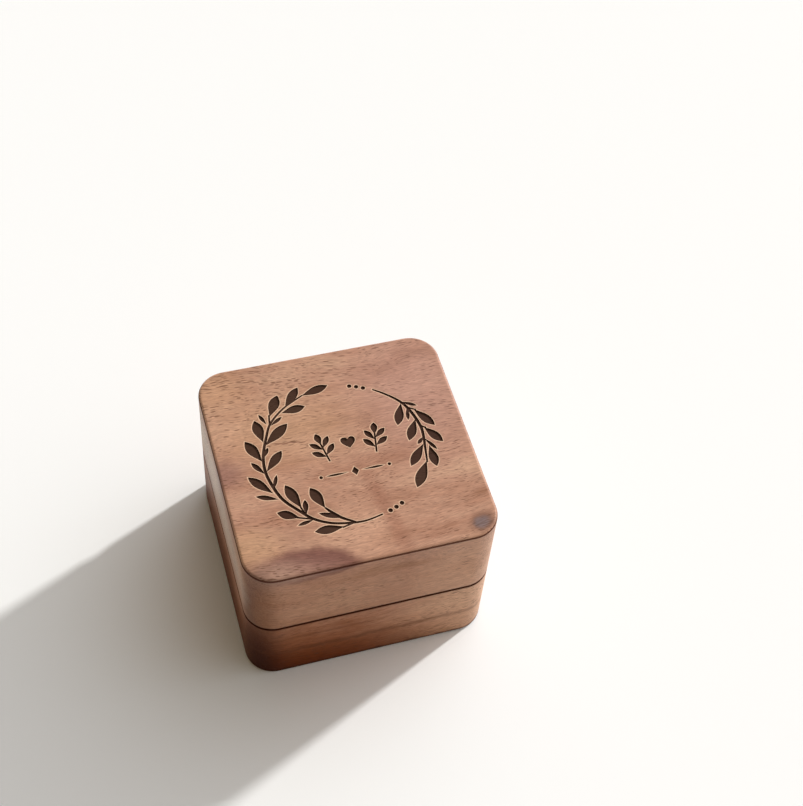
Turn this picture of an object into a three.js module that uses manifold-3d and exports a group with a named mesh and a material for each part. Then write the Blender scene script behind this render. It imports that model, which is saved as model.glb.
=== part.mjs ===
// Wooden ring box: two blocks of walnut, milled hollow and joined along the back by two small brass hinges.
// Millimetres. The origin is under the middle of the box, +X runs along its front, +Y to its back and +Z up.

import * as THREE from 'three';
import { mergeVertices } from 'three/addons/utils/BufferGeometryUtils.js';
import Module from 'manifold-3d';

const wasm = await Module();
wasm.setup();

// Outside of the box
const boxWidth = 60;
const boxDepth = 60;
const boxHeight = 44;
const seamHeight = 21.5; // middle of the gap between base and lid
const seamGap = 0.5;
const cornerRadius = 7;
const topRound = 0.8;
const bottomRound = 0.5;
const seamRound = 0.2;

// The milled hollow, which is alike in base and lid
const wall = 8;
const floorThickness = 4;
const lidThickness = 5;
const hollowCornerRadius = 5;

// Hinges, let into the rims of the back wall
const hingeSideInset = 16; // from the side of the box to the middle of a hinge
const hingeBackInset = 2.8; // from the back of the box to the hinge axis
const hingeLength = 12;
const leafThickness = 0.8;
const middleKnuckle = 4.2;
const knuckleRadius = 1.5;
const knuckleGap = 0.3;
const pinRadius = 0.6;
const pinClearance = 0.1;
const pinHeadRadius = 0.9;
const pinHeadLength = 0.4;
const pinHeadGap = 0.05; // from the head to the end of the knuckle
const openAngle = 95; // degrees, where the lid comes to rest on the back edge of the base
const stopSlack = 1; // degrees between the two sloped back edges when the lid is open

// Screws, two to a leaf
const screwSpacing = 7.2;
const screwLength = 5;
const screwTip = 1.2;
const screwShankRadius = 0.6;
const screwHeadRadius = 1.3;
const screwHeadDepth = 0.7;
const slotWidth = 0.35;
const slotDepth = 0.25;

// Disc magnets, two in the front rim of the base and two in that of the lid
const magnetRadius = 2;
const magnetThickness = 2;
const magnetSideInset = 10;
const magnetRecess = 0.1; // how far the disc lies below the rim

// Ring cushion and lid lining
const cardThickness = 1;
const velvetThickness = 0.7;
const rollLabels = ['front', 'middle', 'rear'];
const rollDrop = 1.1; // from the rim of the base down to the crown of the rolls
const ringSlot = 0.8; // between two rolls at rest
const rollDrawIn = 0.9; // how far a roll's foot draws in on each side
const rollEndRound = 1.6;
const padThickness = 2.6;
const padCrown = 1.7;
const padCrownWidth = 4.2;

// The burnt-in ornament on the lid
const wreathRadius = 20;
const engravingDepth = 0.35;
const stemWidth = 0.8;
const stalkWidth = 0.45;
const dotRadius = 0.55;
const heartWidth = 3.5;
const heartHeight = 3.2;
const sprigHeight = 8.3;
const sprigStemHeight = 5.1;
const ruleLength = 14;
const ruleWidth = 0.55;
const ruleGap = 0.8;
const ruleDotRadius = 0.42;
const lozengeWidth = 1.7;
const lozengeHeight = 2.4;

// Fits
const woodClearance = 0.15; // round a leaf or a magnet in the wood
const screwClearance = 0.08;
const reliefClearance = 0.3; // round a knuckle in the wood
const softClearance = 0.3; // between the hollow and what lies in it
const foamClearance = 0.15; // between a foam core and its velvet
const overrun = 3; // how far a cutting shape runs past the face it cuts

// How finely round shapes are divided
const cornerSteps = 4;
const roundSteps = 3;
const turnedSteps = 14;
const screwSteps = 10;
const crownSteps = 4;
const leafSteps = 4;
const dotSteps = 4;
const stemSteps = 2; // between two points of a stem

// The wreath, drawn round the middle of the lid. Angles are in degrees from +X.
const dotAngles = [[72, 67, 62], [-72, -67, -62]];
const dotRingShare = 0.965;
const leafFullness = 1.35; // above 1, a leaf is fullest beyond its middle
const leafBluntness = 0.9; // below 1, its ends are rounder
const broadLeafShare = 0.132;
const mediumLeafShare = 0.114;
const slimLeafShare = 0.066;
const budShare = 0.047;
const stemEndShare = 0.5; // how wide a stem's ends are, as a share of its middle

// The middle lines of the long stem, the short stem and the twig, as shares of the wreath's radius
const stemPathShares = [
  [
    [0.2, -0.945], [0, -0.982], [-0.175, -0.972], [-0.4, -0.92], [-0.585, -0.815],
    [-0.72, -0.665], [-0.85, -0.495], [-0.92, -0.315], [-0.965, -0.075], [-0.94, 0.16],
    [-0.845, 0.415], [-0.75, 0.6], [-0.55, 0.78], [-0.29, 0.915],
  ],
  [
    [0.555, 0.805], [0.7, 0.69], [0.84, 0.54], [0.92, 0.37], [0.97, 0.15],
    [0.965, 0], [0.935, -0.175], [0.9, -0.38],
  ],
  [
    [-0.12, -0.975], [-0.26, -0.885], [-0.36, -0.78], [-0.42, -0.7],
  ],
];

// The stalks of the leaves that stand off their stem, each from its root to its leaf
const stalkShares = [
  [[-0.765, 0.59], [-0.745, 0.71]],
  [[-0.655, -0.735], [-0.685, -0.635]],
  [[-0.6, -0.815], [-0.75, -0.76]],
  [[-0.14, -0.975], [-0.28, -1.005]],
  [[0.895, 0.445], [0.98, 0.39]],
  [[0.97, 0.15], [1.02, 0.11]],
];

// Each leaf: its root on the stem, its tip and its width, as shares of the wreath's radius
const leafShares = [
  [-0.305, 0.91, 0.045, 0.993, mediumLeafShare],
  [-0.535, 0.785, -0.315, 1.045, mediumLeafShare],
  [-0.6, 0.715, -0.295, 0.75, mediumLeafShare],
  [-0.745, 0.69, -0.58, 0.985, broadLeafShare],
  [-0.8, 0.59, -0.863, 0.755, budShare],
  [-0.765, 0.56, -0.6, 0.662, budShare],
  [-0.895, 0.345, -0.93, 0.68, broadLeafShare],
  [-0.89, 0.295, -0.56, 0.55, broadLeafShare],
  [-0.965, 0.08, -1.105, 0.41, broadLeafShare],
  [-0.94, 0.13, -0.86, 0.265, budShare],
  [-0.955, -0.07, -0.715, 0.185, mediumLeafShare],
  [-0.975, -0.095, -1.1, 0.1, slimLeafShare],
  [-0.94, -0.38, -1.18, -0.09, mediumLeafShare],
  [-0.93, -0.33, -0.85, -0.135, budShare],
  [-0.895, -0.47, -1.15, -0.37, slimLeafShare],
  [-0.675, -0.655, -0.79, -0.295, broadLeafShare],
  [-0.645, -0.745, -0.617, -0.545, slimLeafShare],
  [-0.72, -0.77, -0.965, -0.64, mediumLeafShare],
  [-0.57, -0.825, -0.775, -0.863, budShare],
  [-0.415, -0.715, -0.52, -0.4, broadLeafShare],
  [-0.245, -0.89, -0.505, -0.76, slimLeafShare],
  [-0.26, -1, -0.61, -0.99, mediumLeafShare],
  [0.84, 0.53, 0.71, 0.215, mediumLeafShare],
  [0.84, 0.545, 1.015, 0.445, budShare],
  [0.89, 0.45, 0.855, 0.26, budShare],
  [0.955, 0.41, 1.145, 0.115, mediumLeafShare],
  [0.945, 0.26, 0.78, -0.03, mediumLeafShare],
  [1, 0.125, 1.17, -0.135, mediumLeafShare],
  [0.96, -0.015, 0.865, -0.105, budShare],
  [0.935, -0.11, 0.7, -0.385, mediumLeafShare],
  [0.96, -0.035, 1.07, -0.23, budShare],
  [0.99, -0.145, 0.995, -0.46, mediumLeafShare],
  [0.905, -0.35, 0.685, -0.69, broadLeafShare],
];

// What the wreath frames: a heart between two upright sprigs, above a tapered rule with a lozenge in its middle.
// Their places are shares of the wreath's radius from the middle of the lid.
const heartShares = [0.075, 0.115];
const ruleShares = [0.05, -0.295];
const sprigFootShares = [[-0.205, -0.085], [0.365, -0.085]];
const sprigLean = 10; // degrees outwards

// Each leaf of a sprig: its foot, its tip and its width, as shares of the sprig's height
const sprigLeafShares = [
  [0, 0.58, 0, 1, 0.2],
  [0, 0.46, 0.3, 0.8, 0.17],
  [0, 0.4, -0.3, 0.74, 0.17],
  [0, 0.2, 0.35, 0.5, 0.18],
  [0, 0.14, -0.35, 0.44, 0.18],
];

// The right half of the heart as three curves, each point a share of its width and height
const heartCurveShares = [
  [0, -0.5],
  [0.22, -0.26], [0.5, -0.05], [0.5, 0.2],
  [0.5, 0.42], [0.38, 0.5], [0.26, 0.5],
  [0.14, 0.5], [0.04, 0.42], [0, 0.3],
];

// Places that follow from the sizes above
const baseTop = seamHeight - seamGap / 2;
const lidBottom = seamHeight + seamGap / 2;
const hollowWidth = boxWidth - 2 * wall;
const hollowDepth = boxDepth - 2 * wall;
const ceiling = boxHeight - lidThickness;
const hingeY = boxDepth / 2 - hingeBackInset;
const hingeX = boxWidth / 2 - hingeSideInset;
const leafWidth = wall - hingeBackInset;
const leafTop = -seamGap / 2; // of a base leaf, measured from the hinge axis
const notchDepth = knuckleRadius + knuckleGap;
const screwY = -(leafWidth + notchDepth) / 2;
const outerKnuckle = (hingeLength - middleKnuckle) / 2 - knuckleGap;
const reliefRadius = knuckleRadius + reliefClearance;
const reliefLength = hingeLength + 2 * (pinHeadLength + reliefClearance);
const magnetX = boxWidth / 2 - magnetSideInset;
const magnetY = -(boxDepth - wall) / 2;

const walnut = new THREE.MeshStandardMaterial({ color: 0xa87b62, roughness: 0.5, metalness: 0 });
const brass = new THREE.MeshStandardMaterial({ color: 0xb8964f, roughness: 0.32, metalness: 1 });
const steel = new THREE.MeshStandardMaterial({ color: 0x9fa0a0, roughness: 0.35, metalness: 1 });
const nickel = new THREE.MeshStandardMaterial({ color: 0xc9c7c1, roughness: 0.2, metalness: 1 });
const card = new THREE.MeshStandardMaterial({ color: 0xb7a489, roughness: 0.9, metalness: 0 });
const foam = new THREE.MeshStandardMaterial({ color: 0xe9e4d8, roughness: 1, metalness: 0 });
const velvet = new THREE.MeshStandardMaterial({ color: 0xe6dccb, roughness: 1, metalness: 0 });

// A closed geometry as a solid that can be joined and cut
function solidOf(geometry) {
  geometry.deleteAttribute('normal');
  geometry.deleteAttribute('uv');
  const merged = mergeVertices(geometry);
  const mesh = new wasm.Mesh({
    numProp: 3,
    vertProperties: merged.attributes.position.array,
    triVerts: Uint32Array.from(merged.index.array),
  });
  return new wasm.Manifold(mesh);
}

// A solid as a flat-shaded geometry
function geometryOf(solid) {
  const { vertProperties, triVerts } = solid.getMesh();
  const geometry = new THREE.BufferGeometry();
  geometry.setAttribute('position', new THREE.BufferAttribute(vertProperties, 3));
  geometry.setIndex(new THREE.BufferAttribute(triVerts, 1));
  const flat = geometry.toNonIndexed();
  flat.computeVertexNormals();
  return flat;
}

function piece(name, solid, material) {
  const mesh = new THREE.Mesh(geometryOf(solid), material);
  mesh.name = name;
  return mesh;
}

function roundedRectangle(width, depth, radius) {
  const x = width / 2 - radius;
  const y = depth / 2 - radius;
  const quarter = Math.PI / 2;
  const shape = new THREE.Shape();
  shape.absarc(x, y, radius, 0, quarter);
  shape.absarc(-x, y, radius, quarter, 2 * quarter);
  shape.absarc(-x, -y, radius, 2 * quarter, 3 * quarter);
  shape.absarc(x, -y, radius, 3 * quarter, 4 * quarter);
  return shape;
}

// A flat shape made thick between two heights, with rounded edges if asked
function slab(shape, low, high, round = 0, steps = cornerSteps) {
  const geometry = new THREE.ExtrudeGeometry(shape, {
    depth: high - low - 2 * round,
    curveSegments: steps,
    bevelEnabled: round > 0,
    bevelThickness: round,
    bevelSize: round,
    bevelOffset: -round,
    bevelSegments: roundSteps,
  });
  geometry.translate(0, 0, low + round);
  return solidOf(geometry);
}

// A shape drawn in Y and Z, run along X with its middle at x = 0
function alongX(shape, length) {
  const geometry = new THREE.ExtrudeGeometry(shape, { depth: length, bevelEnabled: false });
  geometry.translate(0, 0, -length / 2);
  geometry.rotateY(Math.PI / 2);
  geometry.rotateX(Math.PI / 2);
  return solidOf(geometry);
}

// A solid along X through sections drawn in Y and Z, each [x, points] with the same count of points, closed flat
// at both ends
function lofted(sections) {
  const [[, first], [, last]] = [sections[0], sections.at(-1)];
  const count = first.length;
  const lastStart = (sections.length - 1) * count;
  const sides = sections.slice(1).flatMap((_, section) => first.flatMap((__, point) => {
    const start = section * count;
    const next = (point + 1) % count;
    return [
      start + point, start + next, start + count + next,
      start + point, start + count + next, start + count + point,
    ];
  }));
  const firstEnd = THREE.ShapeUtils.triangulateShape(first, []).map((face) => [...face].reverse());
  const lastEnd = THREE.ShapeUtils.triangulateShape(last, []).map((face) => face.map((point) => lastStart + point));
  const geometry = new THREE.BufferGeometry().setFromPoints(
    sections.flatMap(([x, points]) => points.map((point) => new THREE.Vector3(x, point.x, point.y))),
  );
  geometry.setIndex([...sides, ...firstEnd.flat(), ...lastEnd.flat()]);
  return solidOf(geometry);
}

// A box between two corners
function boxBetween(low, high) {
  const size = high.map((value, axis) => value - low[axis]);
  const geometry = new THREE.BoxGeometry(...size);
  geometry.translate(...low.map((value, axis) => value + size[axis] / 2));
  return solidOf(geometry);
}

function rodAlongX(radius, length, x = 0) {
  const geometry = new THREE.CylinderGeometry(radius, radius, length, turnedSteps);
  geometry.rotateZ(Math.PI / 2);
  geometry.translate(x, 0, 0);
  return solidOf(geometry);
}

function discBetween(radius, low, high) {
  const geometry = new THREE.CylinderGeometry(radius, radius, high - low, turnedSteps);
  geometry.rotateX(Math.PI / 2);
  geometry.translate(0, 0, (low + high) / 2);
  return solidOf(geometry);
}

// A turned shape round the Z axis from points [radius, height], lowest first
function turned(points) {
  const profile = points.map(([radius, height]) => new THREE.Vector2(radius, height));
  const geometry = new THREE.LatheGeometry(profile, screwSteps);
  geometry.rotateX(Math.PI / 2);
  return solidOf(geometry);
}

// The outside of a block, with one rounding at its lower edge and another at its upper edge
function roundedBlock(low, high, lowRound, highRound) {
  const outline = roundedRectangle(boxWidth, boxDepth, cornerRadius);
  const upTo = slab(outline, low - boxHeight, high, highRound);
  const downTo = slab(outline, low, high + boxHeight, lowRound);
  return upTo.intersect(downTo);
}

function hollow(low, high) {
  return slab(roundedRectangle(hollowWidth, hollowDepth, hollowCornerRadius), low, high);
}

// The outline of the hollow drawn in by a gap, for what lies inside it
function liningOutline(gap) {
  return roundedRectangle(hollowWidth - 2 * gap, hollowDepth - 2 * gap, hollowCornerRadius - gap);
}

// What is cut from the back of a rim: a slope that starts at the hinge axis. The lid's slope comes down on the
// base's when the lid is open. Side is -1 for the base and 1 for the lid.
function backSlope(side) {
  const angle = THREE.MathUtils.degToRad(openAngle / 2 + stopSlack / 2);
  const reach = hingeBackInset + overrun;
  const shape = new THREE.Shape([
    new THREE.Vector2(hingeY, seamHeight),
    new THREE.Vector2(hingeY + reach, seamHeight),
    new THREE.Vector2(hingeY + reach, seamHeight + side * reach * Math.tan(angle)),
  ]);
  return alongX(shape, boxWidth + 2 * overrun);
}

// The room for one hinge in the wood, measured from the hinge axis: the seat of the leaf, the round relief for
// the knuckles and the pilot holes of the screws. It opens upwards, as in the base.
function hingeRoom() {
  const halfLength = hingeLength / 2 + woodClearance;
  const seat = boxBetween(
    [-halfLength, -leafWidth - overrun, leafTop - leafThickness],
    [halfLength, 0, overrun],
  );
  const relief = rodAlongX(reliefRadius, reliefLength);
  return screwPlaces().reduce(
    (room, x) => room.add(screwEnvelope().translate([x, screwY, leafTop])),
    seat.add(relief),
  );
}

function screwPlaces() {
  return [-screwSpacing / 2, screwSpacing / 2];
}

// The space of a screw and its clearance, up to above its head
function screwEnvelope() {
  const shank = screwShankRadius + screwClearance;
  const head = screwHeadRadius + screwClearance;
  const end = -screwLength - screwClearance;
  return turned([
    [0, end],
    [shank, end],
    [shank, -screwHeadDepth],
    [head, 0],
    [head, overrun],
    [0, overrun],
  ]);
}

// A countersunk wood screw with a straight slot, its head's face at z = 0
function screw() {
  const body = turned([
    [0, -screwLength],
    [screwShankRadius, screwTip - screwLength],
    [screwShankRadius, -screwHeadDepth],
    [screwHeadRadius, 0],
    [0, 0],
  ]);
  const slot = boxBetween(
    [-slotWidth / 2, -screwHeadRadius - overrun, -slotDepth],
    [slotWidth / 2, screwHeadRadius + overrun, overrun],
  );
  return body.subtract(slot);
}

// A hinge leaf that lies below the axis and forward of it. Knuckles are the stretches along X where it wraps
// round the pin; between them it is notched for the other leaf's knuckles.
function hingeLeaf(knuckles) {
  const halfLength = hingeLength / 2;
  const low = leafTop - leafThickness;
  const plate = boxBetween([-halfLength, -leafWidth, low], [halfLength, -notchDepth, leafTop]);
  const joined = knuckles.reduce((leaf, [from, to]) => {
    const tab = boxBetween([from, -leafWidth, low], [to, 0, leafTop]);
    return leaf.add(tab).add(rodAlongX(knuckleRadius, to - from, (from + to) / 2));
  }, plate);
  const bored = joined.subtract(rodAlongX(pinRadius + pinClearance, hingeLength + overrun));
  return screwPlaces().reduce(
    (leaf, x) => leaf.subtract(screwEnvelope().translate([x, screwY, leafTop])),
    bored,
  );
}

// A pin with a head peened over at each end
function hingePin() {
  const headX = (hingeLength + pinHeadLength) / 2 + pinHeadGap;
  return [-headX, headX].reduce(
    (pin, x) => pin.add(rodAlongX(pinHeadRadius, pinHeadLength, x)),
    rodAlongX(pinRadius, hingeLength + pinHeadLength),
  );
}

// A point of the lid's ornament, from an angle in degrees and a share of the wreath's radius
function onWreath(angle, share) {
  const turn = THREE.MathUtils.degToRad(angle);
  return new THREE.Vector2(Math.cos(turn), Math.sin(turn)).multiplyScalar(share * wreathRadius);
}

// A point of the lid's ornament, from its x and y as shares of the wreath's radius
function byShares([x, y]) {
  return new THREE.Vector2(x, y).multiplyScalar(wreathRadius);
}

// A leaf from foot to tip
function leafShape(foot, tip, width) {
  const along = tip.clone().sub(foot);
  const across = new THREE.Vector2(-along.y, along.x).normalize();
  const sides = [1, -1].map((side) => Array.from({ length: leafSteps - 1 }, (_, step) => {
    const share = (step + 1) / leafSteps;
    const half = (width / 2) * Math.sin(Math.PI * share ** leafFullness) ** leafBluntness;
    return foot.clone().addScaledVector(along, share).addScaledVector(across, side * half);
  }));
  return new THREE.Shape([foot, ...sides[1], tip, ...sides[0].reverse()]);
}

// A straight stroke of one width between two points
function strokeShape(from, to, width) {
  const along = to.clone().sub(from).setLength(width / 2);
  const across = new THREE.Vector2(-along.y, along.x);
  return new THREE.Shape([
    from.clone().sub(along).sub(across),
    to.clone().add(along).sub(across),
    to.clone().add(along).add(across),
    from.clone().sub(along).add(across),
  ]);
}

// A stem along a middle line, widest halfway and narrower towards both ends
function stemShape(pathShares) {
  const path = new THREE.SplineCurve(pathShares.map(byShares));
  const count = stemSteps * (pathShares.length - 1);
  const sides = [1, -1].map((side) => Array.from({ length: count + 1 }, (_, step) => {
    const share = step / count;
    const along = path.getTangent(share);
    const widthShare = stemEndShare + (1 - stemEndShare) * Math.sin(Math.PI * share);
    const across = new THREE.Vector2(-along.y, along.x).multiplyScalar((side * widthShare * stemWidth) / 2);
    return path.getPoint(share).add(across);
  }));
  return new THREE.Shape([...sides[1], ...sides[0].reverse()]);
}

function dotShape(centre, radius) {
  const shape = new THREE.Shape();
  shape.absarc(centre.x, centre.y, radius, 0, 2 * Math.PI);
  return shape;
}

function heartShape(centre) {
  const leftHalf = heartCurveShares.slice(0, -1).reverse().map(([x, y]) => [-x, y]);
  const points = [...heartCurveShares, ...leftHalf].map(([x, y]) => [
    centre.x + x * heartWidth,
    centre.y + y * heartHeight,
  ]);
  const shape = new THREE.Shape();
  shape.moveTo(...points[0]);
  for (let index = 1; index < points.length; index += 3) {
    shape.bezierCurveTo(...points[index], ...points[index + 1], ...points[index + 2]);
  }
  return shape;
}

// An upright sprig of five leaves, leaning to one side by an angle in degrees
function sprigShapes(foot, lean) {
  const turn = THREE.MathUtils.degToRad(lean);
  const place = (x, y) => new THREE.Vector2(x, y).rotateAround(new THREE.Vector2(), turn).add(foot);
  const leaves = sprigLeafShares.map(([footX, footY, tipX, tipY, width]) => leafShape(
    place(footX * sprigHeight, footY * sprigHeight),
    place(tipX * sprigHeight, tipY * sprigHeight),
    width * sprigHeight,
  ));
  return [strokeShape(place(0, 0), place(0, sprigStemHeight), stalkWidth), ...leaves];
}

// A lozenge with a tapered stroke and a dot at each side
function ruleShapes(centre) {
  const sides = [-1, 1].flatMap((side) => {
    const place = (x) => new THREE.Vector2(centre.x + side * x, centre.y);
    const end = ruleLength / 2;
    return [
      leafShape(place(lozengeWidth / 2 + ruleGap), place(end), ruleWidth),
      dotShape(place(end + ruleGap + ruleDotRadius), ruleDotRadius),
    ];
  });
  const lozenge = new THREE.Shape([
    new THREE.Vector2(centre.x - lozengeWidth / 2, centre.y),
    new THREE.Vector2(centre.x, centre.y - lozengeHeight / 2),
    new THREE.Vector2(centre.x + lozengeWidth / 2, centre.y),
    new THREE.Vector2(centre.x, centre.y + lozengeHeight / 2),
  ]);
  return [lozenge, ...sides];
}

// Every shape burnt into the lid, as one solid that is cut from its top
function ornament() {
  const cut = (shape, steps = dotSteps) => slab(
    shape,
    boxHeight - engravingDepth,
    boxHeight + overrun,
    0,
    steps,
  );
  const stems = stemPathShares.map(stemShape);
  const stalks = stalkShares.map(([from, to]) => strokeShape(byShares(from), byShares(to), stalkWidth));
  const leaves = leafShares.map(([rootX, rootY, tipX, tipY, widthShare]) => leafShape(
    byShares([rootX, rootY]),
    byShares([tipX, tipY]),
    widthShare * wreathRadius,
  ));
  const dots = dotAngles.flat().map((angle) => dotShape(onWreath(angle, dotRingShare), dotRadius));
  const sprigs = sprigFootShares.flatMap((share, index) => sprigShapes(
    byShares(share),
    index ? -sprigLean : sprigLean,
  ));
  const shapes = [...stems, ...stalks, ...leaves, ...dots, ...sprigs, ...ruleShapes(byShares(ruleShares))];
  const solids = [
    ...shapes.map((shape) => cut(shape)),
    cut(heartShape(byShares(heartShares)), roundSteps),
  ];
  return solids.reduce((whole, solid) => whole.add(solid));
}

function withHingeRooms(block, room) {
  return [-hingeX, hingeX].reduce(
    (cut, x) => cut.subtract(room.translate([x, hingeY, seamHeight])),
    block,
  );
}

// Pockets for the magnets, bored from the rim into a block. Side is -1 downwards and 1 upwards.
function magnetPockets(rim, side) {
  const depth = magnetThickness + magnetRecess;
  const [low, high] = [rim + side * depth, rim - side * overrun].sort((one, other) => one - other);
  const pocket = discBetween(magnetRadius + woodClearance, low, high);
  const places = [-magnetX, magnetX].map((x) => pocket.translate([x, magnetY, 0]));
  return places[0].add(places[1]);
}

function baseBlock() {
  const block = roundedBlock(0, baseTop, bottomRound, seamRound)
    .subtract(hollow(floorThickness, baseTop + overrun))
    .subtract(backSlope(-1))
    .subtract(magnetPockets(baseTop, -1));
  return withHingeRooms(block, hingeRoom());
}

function lidBlock() {
  const block = roundedBlock(lidBottom, boxHeight, seamRound, topRound)
    .subtract(hollow(lidBottom - overrun, ceiling))
    .subtract(backSlope(1))
    .subtract(magnetPockets(lidBottom, 1))
    .subtract(ornament());
  return withHingeRooms(block, hingeRoom().rotate([0, 180, 0]));
}

// One hinge with its screws, round its own axis. The lid's leaf and screws are the base's turned over.
function hinge(side) {
  const inner = middleKnuckle / 2;
  const outer = hingeLength / 2;
  const group = new THREE.Group();
  const baseLeaf = hingeLeaf([[-outer, outerKnuckle - outer], [outer - outerKnuckle, outer]]);
  const lidLeaf = piece(`hinge_lid_leaf_${side}`, hingeLeaf([[-inner, inner]]), brass);
  lidLeaf.rotation.y = Math.PI;
  group.add(piece(`hinge_base_leaf_${side}`, baseLeaf, brass), lidLeaf);
  group.add(piece(`hinge_pin_${side}`, hingePin(), steel));
  ['a', 'b'].forEach((letter, index) => {
    const x = screwPlaces()[index];
    const baseScrew = piece(`base_screw_${side}_${letter}`, screw(), brass);
    const lidScrew = piece(`lid_screw_${side}_${letter}`, screw(), brass);
    baseScrew.position.set(x, screwY, leafTop);
    lidScrew.position.set(x, screwY, -leafTop);
    lidScrew.rotation.y = Math.PI;
    group.add(baseScrew, lidScrew);
  });
  group.position.set(side === 'left' ? -hingeX : hingeX, hingeY, seamHeight);
  return group;
}

function magnet(name, x, low) {
  const mesh = piece(name, discBetween(magnetRadius, 0, magnetThickness), nickel);
  mesh.position.set(x, magnetY, low);
  return mesh;
}

// The section of a ring roll: a narrow foot, sides that swell and a round crown. Inset draws it in all round,
// and its foot is then let down by as much as drop.
function rollSection(width, height, inset, drop) {
  const half = width / 2 - inset;
  const foot = half - rollDrawIn;
  const shoulder = height - width / 2;
  const shape = new THREE.Shape();
  shape.moveTo(-foot, 0);
  if (drop > 0) {
    shape.lineTo(-foot, -drop);
    shape.lineTo(foot, -drop);
  }
  shape.lineTo(foot, 0);
  shape.quadraticCurveTo(half, shoulder / 2, half, shoulder);
  shape.absarc(0, shoulder, half, 0, Math.PI);
  shape.quadraticCurveTo(-half, shoulder / 2, -foot, 0);
  return shape.getPoints(crownSteps).slice(0, -1);
}

function rollSize() {
  const room = hollowDepth - 2 * softClearance;
  const slots = rollLabels.length - 1;
  return {
    width: (room - slots * ringSlot) / rollLabels.length,
    height: baseTop - rollDrop - floorThickness - cardThickness,
    length: hollowWidth - 2 * softClearance,
  };
}

// One roll of the ring cushion, fitted to the hollow's rounded corners. Its foot stands on the card, and its
// section draws in along a quarter round towards each end.
function roll(y, inset, drop) {
  const { width, height, length } = rollSize();
  const end = length / 2 - inset;
  const rightHalf = Array.from({ length: roundSteps + 1 }, (_, step) => {
    const turn = (Math.PI / 2) * (1 - step / roundSteps);
    const x = end - rollEndRound * (1 - Math.cos(turn));
    const drawnIn = rollEndRound * (1 - Math.sin(turn));
    return [x, rollSection(width, height, inset + drawnIn, drop)];
  });
  const leftHalf = rightHalf.map(([x, points]) => [-x, points]).reverse();
  const foot = floorThickness + cardThickness;
  const inside = slab(liningOutline(softClearance + inset), -overrun, baseTop);
  return lofted([...leftHalf, ...rightHalf]).translate([0, y, foot]).intersect(inside);
}

function rollPieces(label, y) {
  const coverInset = velvetThickness + foamClearance;
  const core = roll(y, coverInset, 0);
  const room = roll(y, velvetThickness, cardThickness);
  const cover = roll(y, 0, 0).subtract(room);
  return [
    piece(`ring_roll_foam_${label}`, core, foam),
    piece(`ring_roll_velvet_${label}`, cover, velvet),
  ];
}

// A pad under the lid's top, flat above and crowned below, drawn in all round by an inset
function padSolid(inset, top) {
  const outline = liningOutline(softClearance + inset);
  const low = ceiling - cardThickness - padThickness + inset;
  const geometry = new THREE.ExtrudeGeometry(outline, {
    depth: padThickness,
    curveSegments: cornerSteps,
    bevelThickness: padCrown,
    bevelSize: padCrownWidth - inset,
    bevelOffset: inset - padCrownWidth,
    bevelSegments: crownSteps,
  });
  geometry.translate(0, 0, low + padCrown);
  const below = slab(liningOutline(0), low - overrun, top);
  return solidOf(geometry).intersect(below);
}

function lidLining() {
  const cardLow = ceiling - cardThickness;
  const coverInset = velvetThickness + foamClearance;
  const room = padSolid(velvetThickness, cardLow + overrun);
  return [
    piece('lid_pad_card', slab(liningOutline(softClearance), cardLow, ceiling), card),
    piece('lid_pad_foam', padSolid(coverInset, cardLow), foam),
    piece('lid_pad_velvet', padSolid(0, cardLow).subtract(room), velvet),
  ];
}

const ringBox = new THREE.Group();
const base = new THREE.Group();
const lid = new THREE.Group();
base.add(piece('base_block', baseBlock(), walnut));
lid.add(piece('lid_block', lidBlock(), walnut));
ringBox.add(base, lid, hinge('left'), hinge('right'));

[['left', -magnetX], ['right', magnetX]].forEach(([side, x]) => {
  base.add(magnet(`base_magnet_${side}`, x, baseTop - magnetRecess - magnetThickness));
  lid.add(magnet(`lid_magnet_${side}`, x, lidBottom + magnetRecess));
});

base.add(piece(
  'cushion_card',
  slab(liningOutline(softClearance), floorThickness, floorThickness + cardThickness),
  card,
));
rollLabels.forEach((label, index) => {
  const y = (index - (rollLabels.length - 1) / 2) * (rollSize().width + ringSlot);
  base.add(...rollPieces(label, y));
});
lid.add(...lidLining());

export default ringBox;
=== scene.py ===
import math

import bmesh
import bpy
from mathutils import Matrix, Vector


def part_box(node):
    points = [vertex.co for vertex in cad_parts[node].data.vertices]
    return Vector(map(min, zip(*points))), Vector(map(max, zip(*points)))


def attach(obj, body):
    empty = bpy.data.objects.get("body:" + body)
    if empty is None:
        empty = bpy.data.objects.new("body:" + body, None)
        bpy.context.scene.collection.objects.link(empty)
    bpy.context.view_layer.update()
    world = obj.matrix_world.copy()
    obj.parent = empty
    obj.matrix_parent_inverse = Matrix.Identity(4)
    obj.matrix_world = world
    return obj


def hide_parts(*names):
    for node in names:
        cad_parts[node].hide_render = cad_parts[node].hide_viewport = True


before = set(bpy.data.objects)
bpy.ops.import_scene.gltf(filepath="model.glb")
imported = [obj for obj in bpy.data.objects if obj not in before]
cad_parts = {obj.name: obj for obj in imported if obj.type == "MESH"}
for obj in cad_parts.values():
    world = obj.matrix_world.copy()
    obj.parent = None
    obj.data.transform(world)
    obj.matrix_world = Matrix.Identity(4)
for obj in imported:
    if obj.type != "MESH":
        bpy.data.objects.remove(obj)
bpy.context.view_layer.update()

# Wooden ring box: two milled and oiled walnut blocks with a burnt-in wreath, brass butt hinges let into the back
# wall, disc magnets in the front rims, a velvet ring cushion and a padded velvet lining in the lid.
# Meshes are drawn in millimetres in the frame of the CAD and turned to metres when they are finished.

MM = 0.001
HALF_TURN = math.pi
QUARTER_TURN = math.pi / 2

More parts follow.
